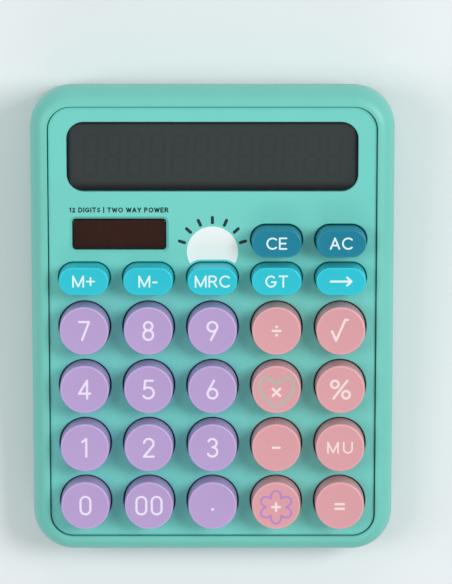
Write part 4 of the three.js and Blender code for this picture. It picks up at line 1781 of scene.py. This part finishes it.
@dataclass
class FacePanel:
    """The recessed panel, with an opening for every key, the display and the solar cell.

    Attributes:
        shell: The shell it lies in.
        keys: The keys that pass through it.
        thickness: Its thickness.
        soft: Radius of the round at the mouth of each opening.
        display_corner: Corner radius of the display opening.
        solar_corner: Corner radius of the solar opening.
        solar_bevel: Width of the slope round the solar opening.
        post_radius: Radius of the posts that carry the board.
        pilot_radius: Radius of the holes in them.
    """

    shell: UpperShell
    keys: KeyField
    thickness: float = 2.0
    soft: float = 0.35
    display_corner: float = 5.4
    solar_corner: float = 1.2
    solar_bevel: float = 0.8
    post_radius: float = 2.2
    pilot_radius: float = 1.1

    def opening(self, outline: Outline) -> Solid:
        """A cutter for an opening with a softly rounded mouth."""
        below = outline.ring(-self.thickness - 1)
        mouth = fillet(outline, (0, -self.soft), (self.soft, 0), (0, 0), 5)
        return Solid.loft([below, *mouth, outline.grown(self.soft).ring(1)])

    def window(self, node: str, corner: float) -> Outline:
        """The opening round a window, which leaves it the usual clearance."""
        low, high = DECK.box(node)
        return Outline(
            high.x - low.x + 2 * GAP, high.y - low.y + 2 * GAP, corner, middle_of(node), segments=12
        )

    def solar_opening(self) -> Solid:
        """A cutter for the solar opening, with a slope round its mouth."""
        outline = self.window("solar_window", self.solar_corner)
        bevel = self.solar_bevel
        heights = [(0, -self.thickness - 1), (0, -bevel), (bevel, 0), (bevel, 1)]
        return Solid.loft([outline.grown(growth).ring(height) for growth, height in heights])

    def build(self) -> None:
        """Make the panel, its openings and the posts under it."""
        low, high = DECK.box("face_plate")
        corner = self.shell.corner - self.shell.rim - GAP
        outline = Outline(high.x - low.x, high.y - low.y, corner, segments=22)
        places = [middle_of(f"board_screw_{side}") for side in SIDES]
        screw_top = DECK.box("board_screw_front_left")[1].z + GAP
        middle_height = -self.thickness / 2
        posts = [Solid.slab(Outline.circle(self.post_radius, p, 8), low.z, middle_height) for p in places]
        pilots = [Solid.slab(Outline.circle(self.pilot_radius, p, 6), low.z - 1, screw_top) for p in places]
        openings = [self.opening(cap.hole) for cap in self.keys.caps.values()]
        openings.append(self.opening(self.window("display_window", self.display_corner)))
        openings.append(self.solar_opening())
        panel = Solid.slab(outline, -self.thickness, 0, 0.2).joined(*posts)
        panel = panel.cut(*openings).cut(*pilots)
        panel.place("face_panel", FINISHES.get(PANEL), CASE, "mint_panel", ["face_plate"])


@dataclass
class LowerShell:
    """The wedge-shaped tray under the keys, with its screw bosses, battery well and foot sockets.

    Attributes:
        upper: The shell it closes.
        well: The battery well in it.
        draft: How far its walls lean in.
        bottom_round: Radius between the walls and the floor.
        floor: Thickness of the floor.
        inner_round: Radius inside.
        tongue_width: Width of the tongue that enters the upper shell.
        tongue_height: Height of the tongue.
        boss_radius: Radius of the screw bosses.
        boss_end: Deck height of the top of the bosses.
        seat: Deck height of the face the screws bear on.
        shank_hole: Radius of the holes for the screws' shanks.
        head_hole: Radius of the holes for their heads.
        foot_gap: Between a rubber foot and its socket.
    """

    upper: UpperShell
    well: BatteryWell
    draft: float = 1.0
    bottom_round: float = 2.0
    floor: float = 2.0
    inner_round: float = 1.0
    tongue_width: float = 1.2
    tongue_height: float = 1.5
    boss_radius: float = 3.6
    boss_end: float = -11.8
    seat: float = -13.9
    shank_hole: float = 1.4
    head_hole: float = 2.5
    foot_gap: float = 0.3

    def seam_ring(self, inset: float, height: float) -> Ring:
        """A ring in the tilted plane of the seam, in the table frame."""
        return [DECK.to_table(point) for point in self.upper.outline.grown(-inset).ring(height)]

    def base_ring(self, inset: float, height: float) -> Ring:
        """A level ring of the tray.

        Args:
            inset: How far it lies inside the widest outline.
            height: Its height in the table frame.

        Returns:
            Its points.
        """
        low, high = table_box("lower_housing")
        seam = self.seam_ring(0, self.upper.seam - GAP)
        front, rear = min(p.y for p in seam), max(p.y for p in seam)
        outline = Outline(high.x - low.x, rear - front, self.upper.corner, (0, (front + rear) / 2), 22)
        return outline.grown(-inset).ring(height)

    def tray(self) -> Solid:
        """Make the outside and the inside of the tray as one skin.

        Returns:
            The tray without what stands on its floor.
        """
        floor_low = table_box("lower_housing")[0].z
        floor_high = floor_low + self.floor
        steps = 7
        rings = []
        for step in range(steps + 1):
            angle = step / steps * math.pi / 2
            inset = self.draft + self.bottom_round * (1 - math.sin(angle))
            rings.append(self.base_ring(inset, floor_low + self.bottom_round * (1 - math.cos(angle))))
        top = self.upper.seam - GAP
        outer = self.upper.skin + GAP
        inner = outer + self.tongue_width
        foot = self.draft + self.upper.wall
        edge = 0.2
        rings += [
            self.seam_ring(0, top - edge),
            self.seam_ring(edge, top),
            self.seam_ring(outer, top),
            self.seam_ring(outer, top + self.tongue_height),
            self.seam_ring(inner, top + self.tongue_height),
            self.base_ring(foot, floor_high + self.inner_round),
            self.base_ring(foot + self.inner_round, floor_high),
        ]
        return Solid.loft(rings)

    def build(self) -> None:
        """Make the tray with everything on its floor."""
        floor_low = table_box("lower_housing")[0].z
        to_table = TABLE.inverted() @ DECK.matrix
        bosses, shanks, heads = [], [], []
        for side in SIDES:
            place = middle_of(f"case_screw_{side}")
            point = DECK.to_table(Vector((*place, 0)))
            floor_w = self.seat - (DECK.to_table(Vector((*place, self.seat))).z - floor_low) + self.floor / 2
            boss = Outline.circle(self.boss_radius, place, 8)
            bosses.append(Solid.slab(boss, floor_w, self.boss_end).moved(to_table))
            shank = Outline.circle(self.shank_hole, place, 6)
            shanks.append(Solid.slab(shank, self.seat - 1, self.boss_end + 1).moved(to_table))
            head = Outline.circle(self.head_hole, place, 8)
            heads.append(Solid.slab(head, self.seat - point.z, self.seat, 0).moved(to_table))
        sockets = []
        for side in SIDES:
            low, high = table_box(f"foot_{side}")
            radius = (high.x - low.x) / 2 + self.foot_gap
            outline = Outline.circle(radius, middle((low, high)), 10)
            sockets.append(Solid.slab(outline, floor_low - 1, high.z + 0.1))
        shell = self.tray().joined(*bosses).joined(self.well.hub(floor_low)).joined(self.well.tube(floor_low))
        shell = shell.cut(*shanks).cut(*heads, *sockets)
        for cutter in self.well.hollows(floor_low):
            shell = shell.cut(cutter)
        shell.place("lower_shell", FINISHES.get(SHELL), CASE, "mint_shell", ["lower_housing"], TABLE)


@dataclass
class BatteryWell:
    """The well of the button cell: a hub that takes the cover's tabs and the tube round the cell.

    Attributes:
        wall: Thickness of the tube.
        hub_wall: Material outside the groove of the tabs.
        hub_rise: Height of the hub above the floor.
        floor: Thickness of the floor round it.
        strip: Thickness of the contact strips.
        tab_reach: How far the cover's tabs stand out.
        tab_thickness: Their thickness.
        tab_half_angle: Half of each tab's angle in degrees.
        slit: Width of the slit for the side contact.
        twist: From locked to the entry notches, in degrees.
        notch_gap: Between a tab and the sides of its notch, in degrees.
        coin_inset: From the cover's rim to the end of its coin slot.
        coin_width: Width of that slot.
        coin_depth: Depth of that slot.
        edge: Radius of the rounds of the cover and width of the slope round its slot.
    """

    wall: float = 1.8
    hub_wall: float = 2.3
    hub_rise: float = 2.0
    floor: float = 2.0
    strip: float = 0.4
    tab_reach: float = 1.4
    tab_thickness: float = 1.1
    tab_half_angle: float = 14.0
    slit: float = 4.6
    twist: float = 45.0
    coin_inset: float = 4.0
    coin_width: float = 1.6
    coin_depth: float = 1.0
    notch_gap: float = 3.0
    edge: float = 0.25

    @property
    def centre(self) -> Point:
        """The middle of the cell."""
        return middle(table_box("battery_cell"))

    @property
    def bore(self) -> float:
        """Radius of the tube's bore."""
        low, high = table_box("battery_cell")
        return (high.x - low.x) / 2 + self.strip + GAP / 2

    @property
    def cover_radius(self) -> float:
        """Radius of the cover without its tabs."""
        low, high = table_box("battery_cover")
        return (high.x - low.x) / 2 - self.tab_reach

    def circle(self, radius: float) -> Outline:
        """A circle about the cell's axis."""
        return Outline.circle(radius, self.centre, 24)

    def disc(self, radius: float, low: float, high: float, edge: float = 0.0) -> Solid:
        """An upright cylinder about the cell's axis."""
        return Solid.slab(self.circle(radius), low, high, edge)

    def hub(self, floor_low: float) -> Solid:
        """The raised hub."""
        radius = self.cover_radius + self.tab_reach + GAP + self.hub_wall
        return self.disc(radius, floor_low + self.floor / 2, floor_low + self.floor + self.hub_rise)

    def tube(self, floor_low: float) -> Solid:
        """The tube round the cell."""
        high = table_box("battery_cell")[1].z + self.strip
        return self.disc(self.bore + self.wall, floor_low + self.floor, high)

    def hollows(self, floor_low: float) -> list[Solid]:
        """Cutters for the cover's bore, its groove and notches, the cell's bore and the side slit.

        Args:
            floor_low: Height of the case's underside.

        Returns:
            The cutters, which overlap and so cut one at a time.
        """
        cell_low, cell_high = table_box("battery_cell")
        cover_high = table_box("battery_cover")[1].z
        below, above = floor_low - 1, cell_high.z + 2
        groove = self.cover_radius + self.tab_reach + GAP
        notch = self.tab_half_angle + self.notch_gap
        entry = self.circle(groove)
        slit_low = Vector((-self.slit / 2, self.centre[1] + self.bore - 1, cell_low.z + 1))
        slit_high = Vector((self.slit / 2, self.centre[1] + self.bore + self.wall + 1, above))
        return [
            self.disc(self.cover_radius + GAP, below, cell_low.z),
            self.disc(groove, cover_high - self.tab_thickness - GAP, cell_low.z),
            Solid.wedge(entry, notch, self.twist, below, cell_low.z),
            Solid.wedge(entry, notch, self.twist + 180, below, cell_low.z),
            self.disc(self.bore, cell_low.z - GAP, above),
            Solid.box(slit_low, slit_high),
        ]

    def build(self) -> None:
        """Make the twist-off cover, with its tabs and a coin slot."""
        low, high = table_box("battery_cover")
        tabs = self.circle((high.x - low.x) / 2)
        tab_low = high.z - self.tab_thickness
        cover = self.disc(self.cover_radius, low.z, high.z, self.edge)
        for turn in (0, 180):
            cover = cover.joined(Solid.wedge(tabs, self.tab_half_angle, turn, tab_low, high.z))
        length = 2 * (self.cover_radius - self.coin_inset)
        slot = Outline(length, self.coin_width, self.coin_width / 2, self.centre, 8)
        mouth = slot.grown(self.edge)
        cutter = [mouth.ring(low.z - 1), mouth.ring(low.z)]
        cutter += [slot.ring(low.z + self.edge), slot.ring(low.z + self.coin_depth)]
        cover = cover.cut(Solid.loft(cutter))
        node = "battery_cover"
        cover.place("twist_cover", FINISHES.get(SHELL), node, SHELL.name, [node], TABLE)


# ---- Windows, display and print ----


@dataclass
class Windows:
    """The tinted display window, the faint segments below it and the clear cover of the solar cell.

    Attributes:
        display_corner: Corner radius of the display window.
        solar_corner: Corner radius of the solar window.
        edge: Radius of the rounds at the edges of both.
        digits: How many digits the display has.
        pitch: From digit to digit.
        digit_width: Width of a digit.
        digit_height: Height of a digit.
        bar: Width of a segment.
        slant: How far a digit leans, per millimetre of its height.
        parting: Half of the clear space between two segments that meet.
    """

    display_corner: float = 5.1
    solar_corner: float = 0.9
    edge: float = 0.25
    digits: int = 12
    pitch: float = 7.0
    digit_width: float = 4.1
    digit_height: float = 13.0
    bar: float = 1.25
    slant: float = 0.06
    parting: float = 0.25

    def segments(self) -> bpy.types.Mesh:
        """Draw the seven segments of one digit, as thin hexagonal bars.

        Returns:
            A flat mesh of seven faces.
        """
        wide, high, half = self.digit_width / 2, self.digit_height / 2, self.bar / 2
        bars = [((-wide, y), (wide, y)) for y in (-high, 0, high)]
        bars += [((x, y), (x, y + high)) for x in (-wide, wide) for y in (-high, 0)]
        made = bmesh.new()
        for start, end in bars:
            a, b = Vector(start), Vector(end)
            along = (b - a).normalized()
            side = Vector((-along.y, along.x)) * half
            a, b = a + along * self.parting, b - along * self.parting
            near, far = a + along * half, b - along * half
            corners = [a, near - side, far - side, b, far + side, near + side]
            vertices = [made.verts.new((c.x + c.y * self.slant, c.y, 0)) for c in corners]
            made.faces.new(vertices)
        mesh = bpy.data.meshes.new("digit")
        made.to_mesh(mesh)
        made.free()
        return mesh

    def build(self) -> None:
        """Make both windows and the display's segments."""
        windows = (
            ("display_window", "display_lens", LENS, self.display_corner, 16),
            ("solar_window", "solar_cover", SOLAR_COVER, self.solar_corner, 8),
        )
        for node, name, finish, corner, segments in windows:
            low, high = DECK.box(node)
            outline = Outline(high.x - low.x, high.y - low.y, corner, middle_of(node), segments)
            slab = Solid.slab(outline, low.z, high.z, self.edge)
            slab.place(name, FINISHES.get(finish), CASE, finish.name, [node])
        self.display_segments()

    def display_segments(self) -> None:
        """Repeat the digit across the glass with a tree."""
        ink = FINISHES.get(SEGMENT_INK)
        tree = NodeTree("display_digits")
        count, pitch = tree.size("Digits", "NodeSocketInt"), tree.size("Pitch")
        step = tree.wire("ShaderNodeCombineXYZ", {0: pitch})
        line = tree.wire("GeometryNodeMeshLine", {"Count": count, "Offset": step})
        tree.close(tree.scatter(line, tree.source), ink)
        row = tree.run(self.segments(), Digits=self.digits, Pitch=self.pitch)
        x, y = middle_of("lcd_glass")
        film = DECK.box("lcd_glass")[1].z + 0.03
        start = x - self.pitch * (self.digits - 1) / 2
        row = row.moved(Matrix.Translation((start, y, film)))
        row.place("display_segments", ink, CASE, "display_glass")


@dataclass
class FacePrint:
    """What is printed on the face panel: a half sun behind a key, its rays and a line of plain words.

    Attributes:
        keys: The keys, one of which the sun stands behind.
        radius: Radius of the sun.
        lift: How far above its key's middle the sun's middle is.
        horizon: How far above the key's middle the sun is cut off.
        film: Thickness of the print.
        rays: How many rays it has.
        ray_gap: Clear space between the sun and its rays.
        ray_length: Length of each ray.
        ray_start: From the horizontal to the first and the last ray, in degrees.
        key_gap: Clear space between the sun and the hole of its key.
        words: What the printed line says.
        words_inset: From the left edge of the display window to the words.
        words_drop: From its front edge down to the middle of the words.
    """

    keys: KeyField
    radius: float = 8.1
    lift: float = 8.25
    horizon: float = 3.6
    film: float = 0.03
    rays: int = 7
    ray_gap: float = 1.2
    ray_length: float = 1.7
    ray_start: float = 18.0
    key_gap: float = 0.75
    words: str = "12 DIGITS | TWO WAY POWER"
    words_inset: float = 0.6
    words_drop: float = 6.2

    def build(self) -> None:
        """Print the sun, its rays and the words."""
        cap = self.keys.caps["key_memory_recall"]
        x, y = cap.centre[0], cap.centre[1] + self.lift
        disc = Solid.slab(Outline.circle(self.radius, (x, y), 24), -self.film, self.film)
        low_corner = Vector((x - 2 * self.radius, y - 2 * self.radius, -1))
        below = Solid.box(low_corner, Vector((x + 2 * self.radius, cap.centre[1] + self.horizon, 1)))
        hole = cap.hole.grown(self.key_gap)
        disc = disc.cut(below).cut(Solid.slab(hole, -1, 1))
        disc.place("printed_sun", FINISHES.get(WHITE_PRINT), CASE, PANEL.name, crease=SHARP)
        marks = []
        inner, outer = self.radius + self.ray_gap, self.radius + self.ray_gap + self.ray_length
        for index in range(self.rays):
            angle = math.radians(self.ray_start + index * (180 - 2 * self.ray_start) / (self.rays - 1))
            way = (math.cos(angle), math.sin(angle))
            marks.append(Line(((inner * way[0], inner * way[1]), (outer * way[0], outer * way[1]))))
        text = Drawing.word(self.words, **SMALL_PRINT)
        low = DECK.box("display_window")[0]
        centre = (low.x + text_width(text) / 2 + self.words_inset, low.y - self.words_drop)
        lines = {"printed_rays": (Drawing.marks(1.0, *marks), (x, y)), "printed_words": (text, centre)}
        for name, (drawing, place) in lines.items():
            printed = STROKES.lay(drawing, DARK_INK, place, proud=self.film, sunk=self.film)
            printed.place(name, FINISHES.get(DARK_INK), CASE, PANEL.name, crease=SHARP)


def text_width(drawing: Drawing) -> float:
    """From the leftmost to the rightmost point of a drawing."""
    places = [point[0] for stroke in drawing.strokes for point in stroke]
    return max(places) - min(places)


# ---- Feet, screws and the inside ----


@dataclass
class RubberFeet:
    """Four moulded feet with rings on their soles, set in the sockets of the lower shell.

    Attributes:
        chamfer: Slope round the sole.
        ridge: Radius of the raised rings' section.
        rings: Radii of the raised rings, as shares of the sole's.
        sides: Sides of each foot.
    """

    chamfer: float = 0.5
    ridge: float = 0.22
    rings: tuple[float, ...] = (0.9, 0.66, 0.42, 0.18)
    sides: int = 48

    def tree(self) -> NodeTree:
        """Draw a foot and put it on every point.

        Returns:
            The tree.
        """
        tree = NodeTree("rubber_feet")
        names = ("Radius", "Height", "Chamfer", "Ridge")
        radius, height, chamfer, ridge = (tree.size(name) for name in names)
        sides = tree.size("Sides", "NodeSocketInt")
        sole = radius - chamfer
        drum_height = height - chamfer - ridge
        values = {"Vertices": sides, "Radius": radius, "Depth": drum_height}
        drum = tree.shifted(tree.wire("GeometryNodeMeshCylinder", values), height - drum_height * 0.5)
        values = {"Vertices": sides, "Radius Bottom": sole, "Radius Top": radius, "Depth": chamfer}
        slope = tree.shifted(tree.wire("GeometryNodeMeshCone", values), ridge)
        profile = tree.wire("GeometryNodeCurvePrimitiveCircle", {"Resolution": 8, "Radius": ridge})
        rings = []
        for share in self.rings:
            values = {"Resolution": sides, "Radius": sole * share}
            circle = tree.wire("GeometryNodeCurvePrimitiveCircle", values)
            ring = tree.wire("GeometryNodeCurveToMesh", {"Curve": circle, "Profile Curve": profile})
            rings.append(tree.shifted(ring, ridge))
        foot = tree.union(drum, slope, *rings)
        tree.close(tree.scatter(tree.source, foot), FINISHES.get(FOOT_RUBBER))
        return tree

    def build(self) -> None:
        """Make the four feet."""
        nodes = [f"foot_{side}" for side in SIDES]
        boxes = [table_box(node) for node in nodes]
        low, high = boxes[0]
        places = [Vector((*middle(box), box[0].z)) for box in boxes]
        feet = self.tree().run(
            points_mesh(places),
            Radius=(high.x - low.x) / 2,
            Height=high.z - low.z,
            Chamfer=self.chamfer,
            Ridge=self.ridge,
            Sides=self.sides,
        )
        feet.place("rubber_feet", FINISHES.get(FOOT_RUBBER), CASE, "foot_rubber", nodes, TABLE)


@dataclass
class Screws:
    """A set of four pan-head screws with cross recesses and rolled threads.

    Attributes:
        name: What the set is called.
        prefix: The start of the CAD nodes' names.
        head_height: Height of the head.
        shank: Radius of the shank's core.
        thread: Height of the thread's crest.
        pitch: From crest to crest.
        crown: Radius of the flat of the head, as a share of the head's.
        cross: Length and width of the blades of the cross recess, as shares of the head's radius.
        taper: Radius of the shank's end, as a share of its start.
        seed: For the random turn of each screw.
    """

    name: str
    prefix: str
    head_height: float
    shank: float
    thread: float = 0.22
    pitch: float = 0.8
    crown: float = 0.72
    cross: tuple[float, float] = (1.25, 0.28)
    taper: float = 0.9
    seed: int = 4

    def tree(self) -> NodeTree:
        """Draw a screw and drive it into every point, head down.

        Returns:
            The tree.
        """
        tree = NodeTree(self.name)
        names = ("Head radius", "Head height", "Shank", "Length", "Thread", "Pitch")
        head_radius, head_height, shank, length, thread, pitch = (tree.size(name) for name in names)
        seed = tree.size("Seed", "NodeSocketInt")
        half_head = head_height * 0.5
        values = {"Vertices": 40, "Radius": head_radius, "Depth": half_head}
        rim = tree.shifted(tree.wire("GeometryNodeMeshCylinder", values), head_height * 0.75)
        radii = {"Radius Top": head_radius, "Radius Bottom": head_radius * self.crown}
        crown = tree.wire("GeometryNodeMeshCone", {"Vertices": 40, **radii, "Depth": half_head})
        core_length = length - half_head
        values = {"Vertices": 24, "Radius": shank, "Depth": core_length}
        core = tree.shifted(tree.wire("GeometryNodeMeshCylinder", values), half_head + core_length * 0.5)
        blades = []
        for wide, deep in (self.cross, self.cross[::-1]):
            ways = {0: head_radius * wide, 1: head_radius * deep, 2: head_height}
            size = tree.wire("ShaderNodeCombineXYZ", ways)
            blades.append(tree.wire("GeometryNodeMeshCube", {"Size": size}))
        parts = {"Mesh 1": tree.union(rim, crown, core), "Mesh 2": blades}
        body = tree.boolean(parts, Join.DIFFERENCE)
        rise = length - head_height * 1.5
        turns = {
            "Resolution": 20,
            "Rotations": rise / pitch,
            "Start Radius": shank,
            "End Radius": shank * self.taper,
            "Height": rise,
        }
        helix = tree.wire("GeometryNodeCurveSpiral", turns)
        profile = tree.wire("GeometryNodeCurvePrimitiveCircle", {"Resolution": 3, "Radius": thread})
        swept = {"Curve": helix, "Profile Curve": profile, "Fill Caps": True}
        crest = tree.shifted(tree.wire("GeometryNodeCurveToMesh", swept), head_height * 1.25)
        screw = tree.wire("GeometryNodeJoinGeometry", {0: [body, crest]})
        most = {"Max": math.pi / 2, "Seed": seed}
        angle = tree.wire("FunctionNodeRandomValue", most, data_type="FLOAT")
        turn = tree.wire("ShaderNodeCombineXYZ", {2: angle})
        tree.close(tree.scatter(tree.source, screw, Rotation=turn), FINISHES.get(ZINC))
        return tree

    def build(self) -> None:
        """Make the four screws."""
        nodes = [f"{self.prefix}_{side}" for side in SIDES]
        boxes = [DECK.box(node) for node in nodes]
        low, high = boxes[0]
        places = [Vector((*middle(box), box[0].z)) for box in boxes]
        sizes = {
            "Head radius": (high.x - low.x) / 2,
            "Head height": self.head_height,
            "Shank": self.shank,
            "Length": high.z - low.z,
            "Thread": self.thread,
            "Pitch": self.pitch,
            "Seed": self.seed,
        }
        screws = self.tree().run(points_mesh(places), **sizes)
        screws.place(self.name, FINISHES.get(ZINC), CASE, "zinc_screw", nodes)


@dataclass
class Inside:
    """The pieces whose CAD shape is right and which only take a finish."""

    def build(self) -> None:
        """Dress every CAD node that is kept."""
        dressed = {
            "display_frame": BLACK_PLASTIC,
            "lcd_glass": DISPLAY_GLASS,
            "zebra_connector": ZEBRA,
            "solar_cell": SILICON,
            "main_board": LAMINATE,
            "key_switch_bank": BLACK_PLASTIC,
            "controller_chip": EPOXY,
            "capacitor": CAN,
            "battery_cell": CELL_STEEL,
            "battery_contact_positive": SPRING_STRIP,
            "battery_contact_negative": SPRING_STRIP,
            "battery_lead_positive": RED_WIRE,
            "battery_lead_negative": BLACK_WIRE,
            "solar_lead_positive": RED_WIRE,
            "solar_lead_negative": BLACK_WIRE,
        }
        for node, source in dressed.items():
            mesh = frame["nodes"][node].data
            mesh.materials.clear()
            mesh.materials.append(FINISHES.get(source))
            log.info("%s dressed as %s", node, source.name)


# ---- The studio ----


@dataclass
class Studio:
    """A plain pale floor, soft light and the camera.

    Attributes:
        aim: Where the camera looks on the deck, in millimetres.
        lean: Angle between its line of sight and the normal of the face, towards the rear, in degrees.
        distance: From the aim to the camera, in metres.
        field: What the picture's width takes in at the aim, in metres.
        sensor: Width of the camera's sensor in millimetres.
    """

    aim: tuple[float, float, float] = (4.3, 10.3, 0.0)
    lean: float = 12.0
    distance: float = 1.2
    field: float = 0.1435
    sensor: float = 36.0

    def build(self) -> None:
        """Make everything that isn't part of the object."""
        self.floor()
        self.lights()
        self.camera()
        bpy.context.scene.view_settings.view_transform = "Standard"

    def floor(self) -> None:
        """Lay a pale floor at the height the feet stand on."""
        graph = Graph("pale_floor")
        tone = graph.blend(graph.noise(3, 2), colour(226, 230, 231), colour(232, 235, 236))
        material = graph.finish(Base_Color=tone, Roughness=0.7 + graph.noise(30, 2) * 0.1)
        made = bmesh.new()
        bmesh.ops.create_grid(made, x_segments=2, y_segments=2, size=3.0)
        mesh = bpy.data.meshes.new("floor")
        made.to_mesh(mesh)
        made.free()
        mesh.transform(Matrix.Translation((0, 0, CAD_LOW.z)))
        mesh.materials.append(material)
        plane = bpy.data.objects.new("floor", mesh)
        bpy.context.scene.collection.objects.link(plane)

    def area(self, name: str, place: Sequence[float], size: Point, power: float) -> None:
        """Hang a white soft box that looks at the middle of the object.

        Args:
            name: The light's name.
            place: Where it is, in metres.
            size: Its width and height.
            power: Its strength in watts.
        """
        lamp = bpy.data.lights.new(name, "AREA")
        lamp.shape = "RECTANGLE"
        lamp.size, lamp.size_y = size
        lamp.energy = power
        holder = bpy.data.objects.new(name, lamp)
        holder.location = place
        aim = Vector((0, 0, 0.02)) - Vector(place)
        holder.rotation_euler = aim.to_track_quat("-Z", "Y").to_euler()
        bpy.context.scene.collection.objects.link(holder)

    def lights(self) -> None:
        """Hang boxes right and left, a fill in front, a strip behind for the rims and a pale surround."""
        self.area("key_box", (0.95, 0.3, 1.1), (0.6, 0.6), 11.5)
        self.area("left_box", (-0.9, 0.1, 1.0), (0.6, 0.9), 5.5)
        self.area("front_box", (0.05, -1.0, 0.8), (1.0, 0.4), 2.0)
        self.area("rear_strip", (0.1, 1.0, 0.75), (1.4, 0.07), 1.6)
        world = bpy.data.worlds.new("surround")
        world.use_nodes = True
        backdrop = world.node_tree.nodes["Background"]
        backdrop.inputs["Color"].default_value = (0.82, 0.88, 0.9, 1.0)
        backdrop.inputs["Strength"].default_value = 0.42
        bpy.context.scene.world = world

    def camera(self) -> None:
        """Stand a long lens a little to the rear of the face's normal, with the rear of the object up."""
        lens = bpy.data.cameras.new("camera")
        lens.sensor_fit = "HORIZONTAL"
        lens.sensor_width = self.sensor
        lens.lens = self.sensor * self.distance / self.field
        lens.clip_start, lens.clip_end = 0.05, 20.0
        holder = bpy.data.objects.new("camera", lens)
        turn = DECK.matrix.to_quaternion().to_matrix()
        lean = math.radians(self.lean)
        back = (turn @ Vector((0, math.sin(lean), math.cos(lean)))).normalized()
        right = turn @ Vector((1, 0, 0))
        up = back.cross(right)
        pose = Matrix((right, up, back)).transposed().to_4x4()
        target = DECK.matrix @ Vector(self.aim)
        holder.matrix_world = Matrix.Translation(target + back * self.distance) @ pose
        bpy.context.scene.collection.objects.link(holder)
        bpy.context.scene.camera = holder


def main() -> None:
    """Build the calculator and the studio."""
    logging.basicConfig(level=logging.INFO, format="%(name)s: %(message)s")
    Studio().build()
    keys = KeyField()
    shell = UpperShell()
    well = BatteryWell()
    shell.build()
    FacePanel(shell, keys).build()
    LowerShell(shell, well).build()
    well.build()
    keys.build()
    Windows().build()
    FacePrint(keys).build()
    RubberFeet().build()
    Screws("case_screws", "case_screw", head_height=1.4, shank=1.1).build()
    Screws("board_screws", "board_screw", head_height=1.2, shank=0.8).build()
    Inside().build()


if __name__ == "__main__":
    main()
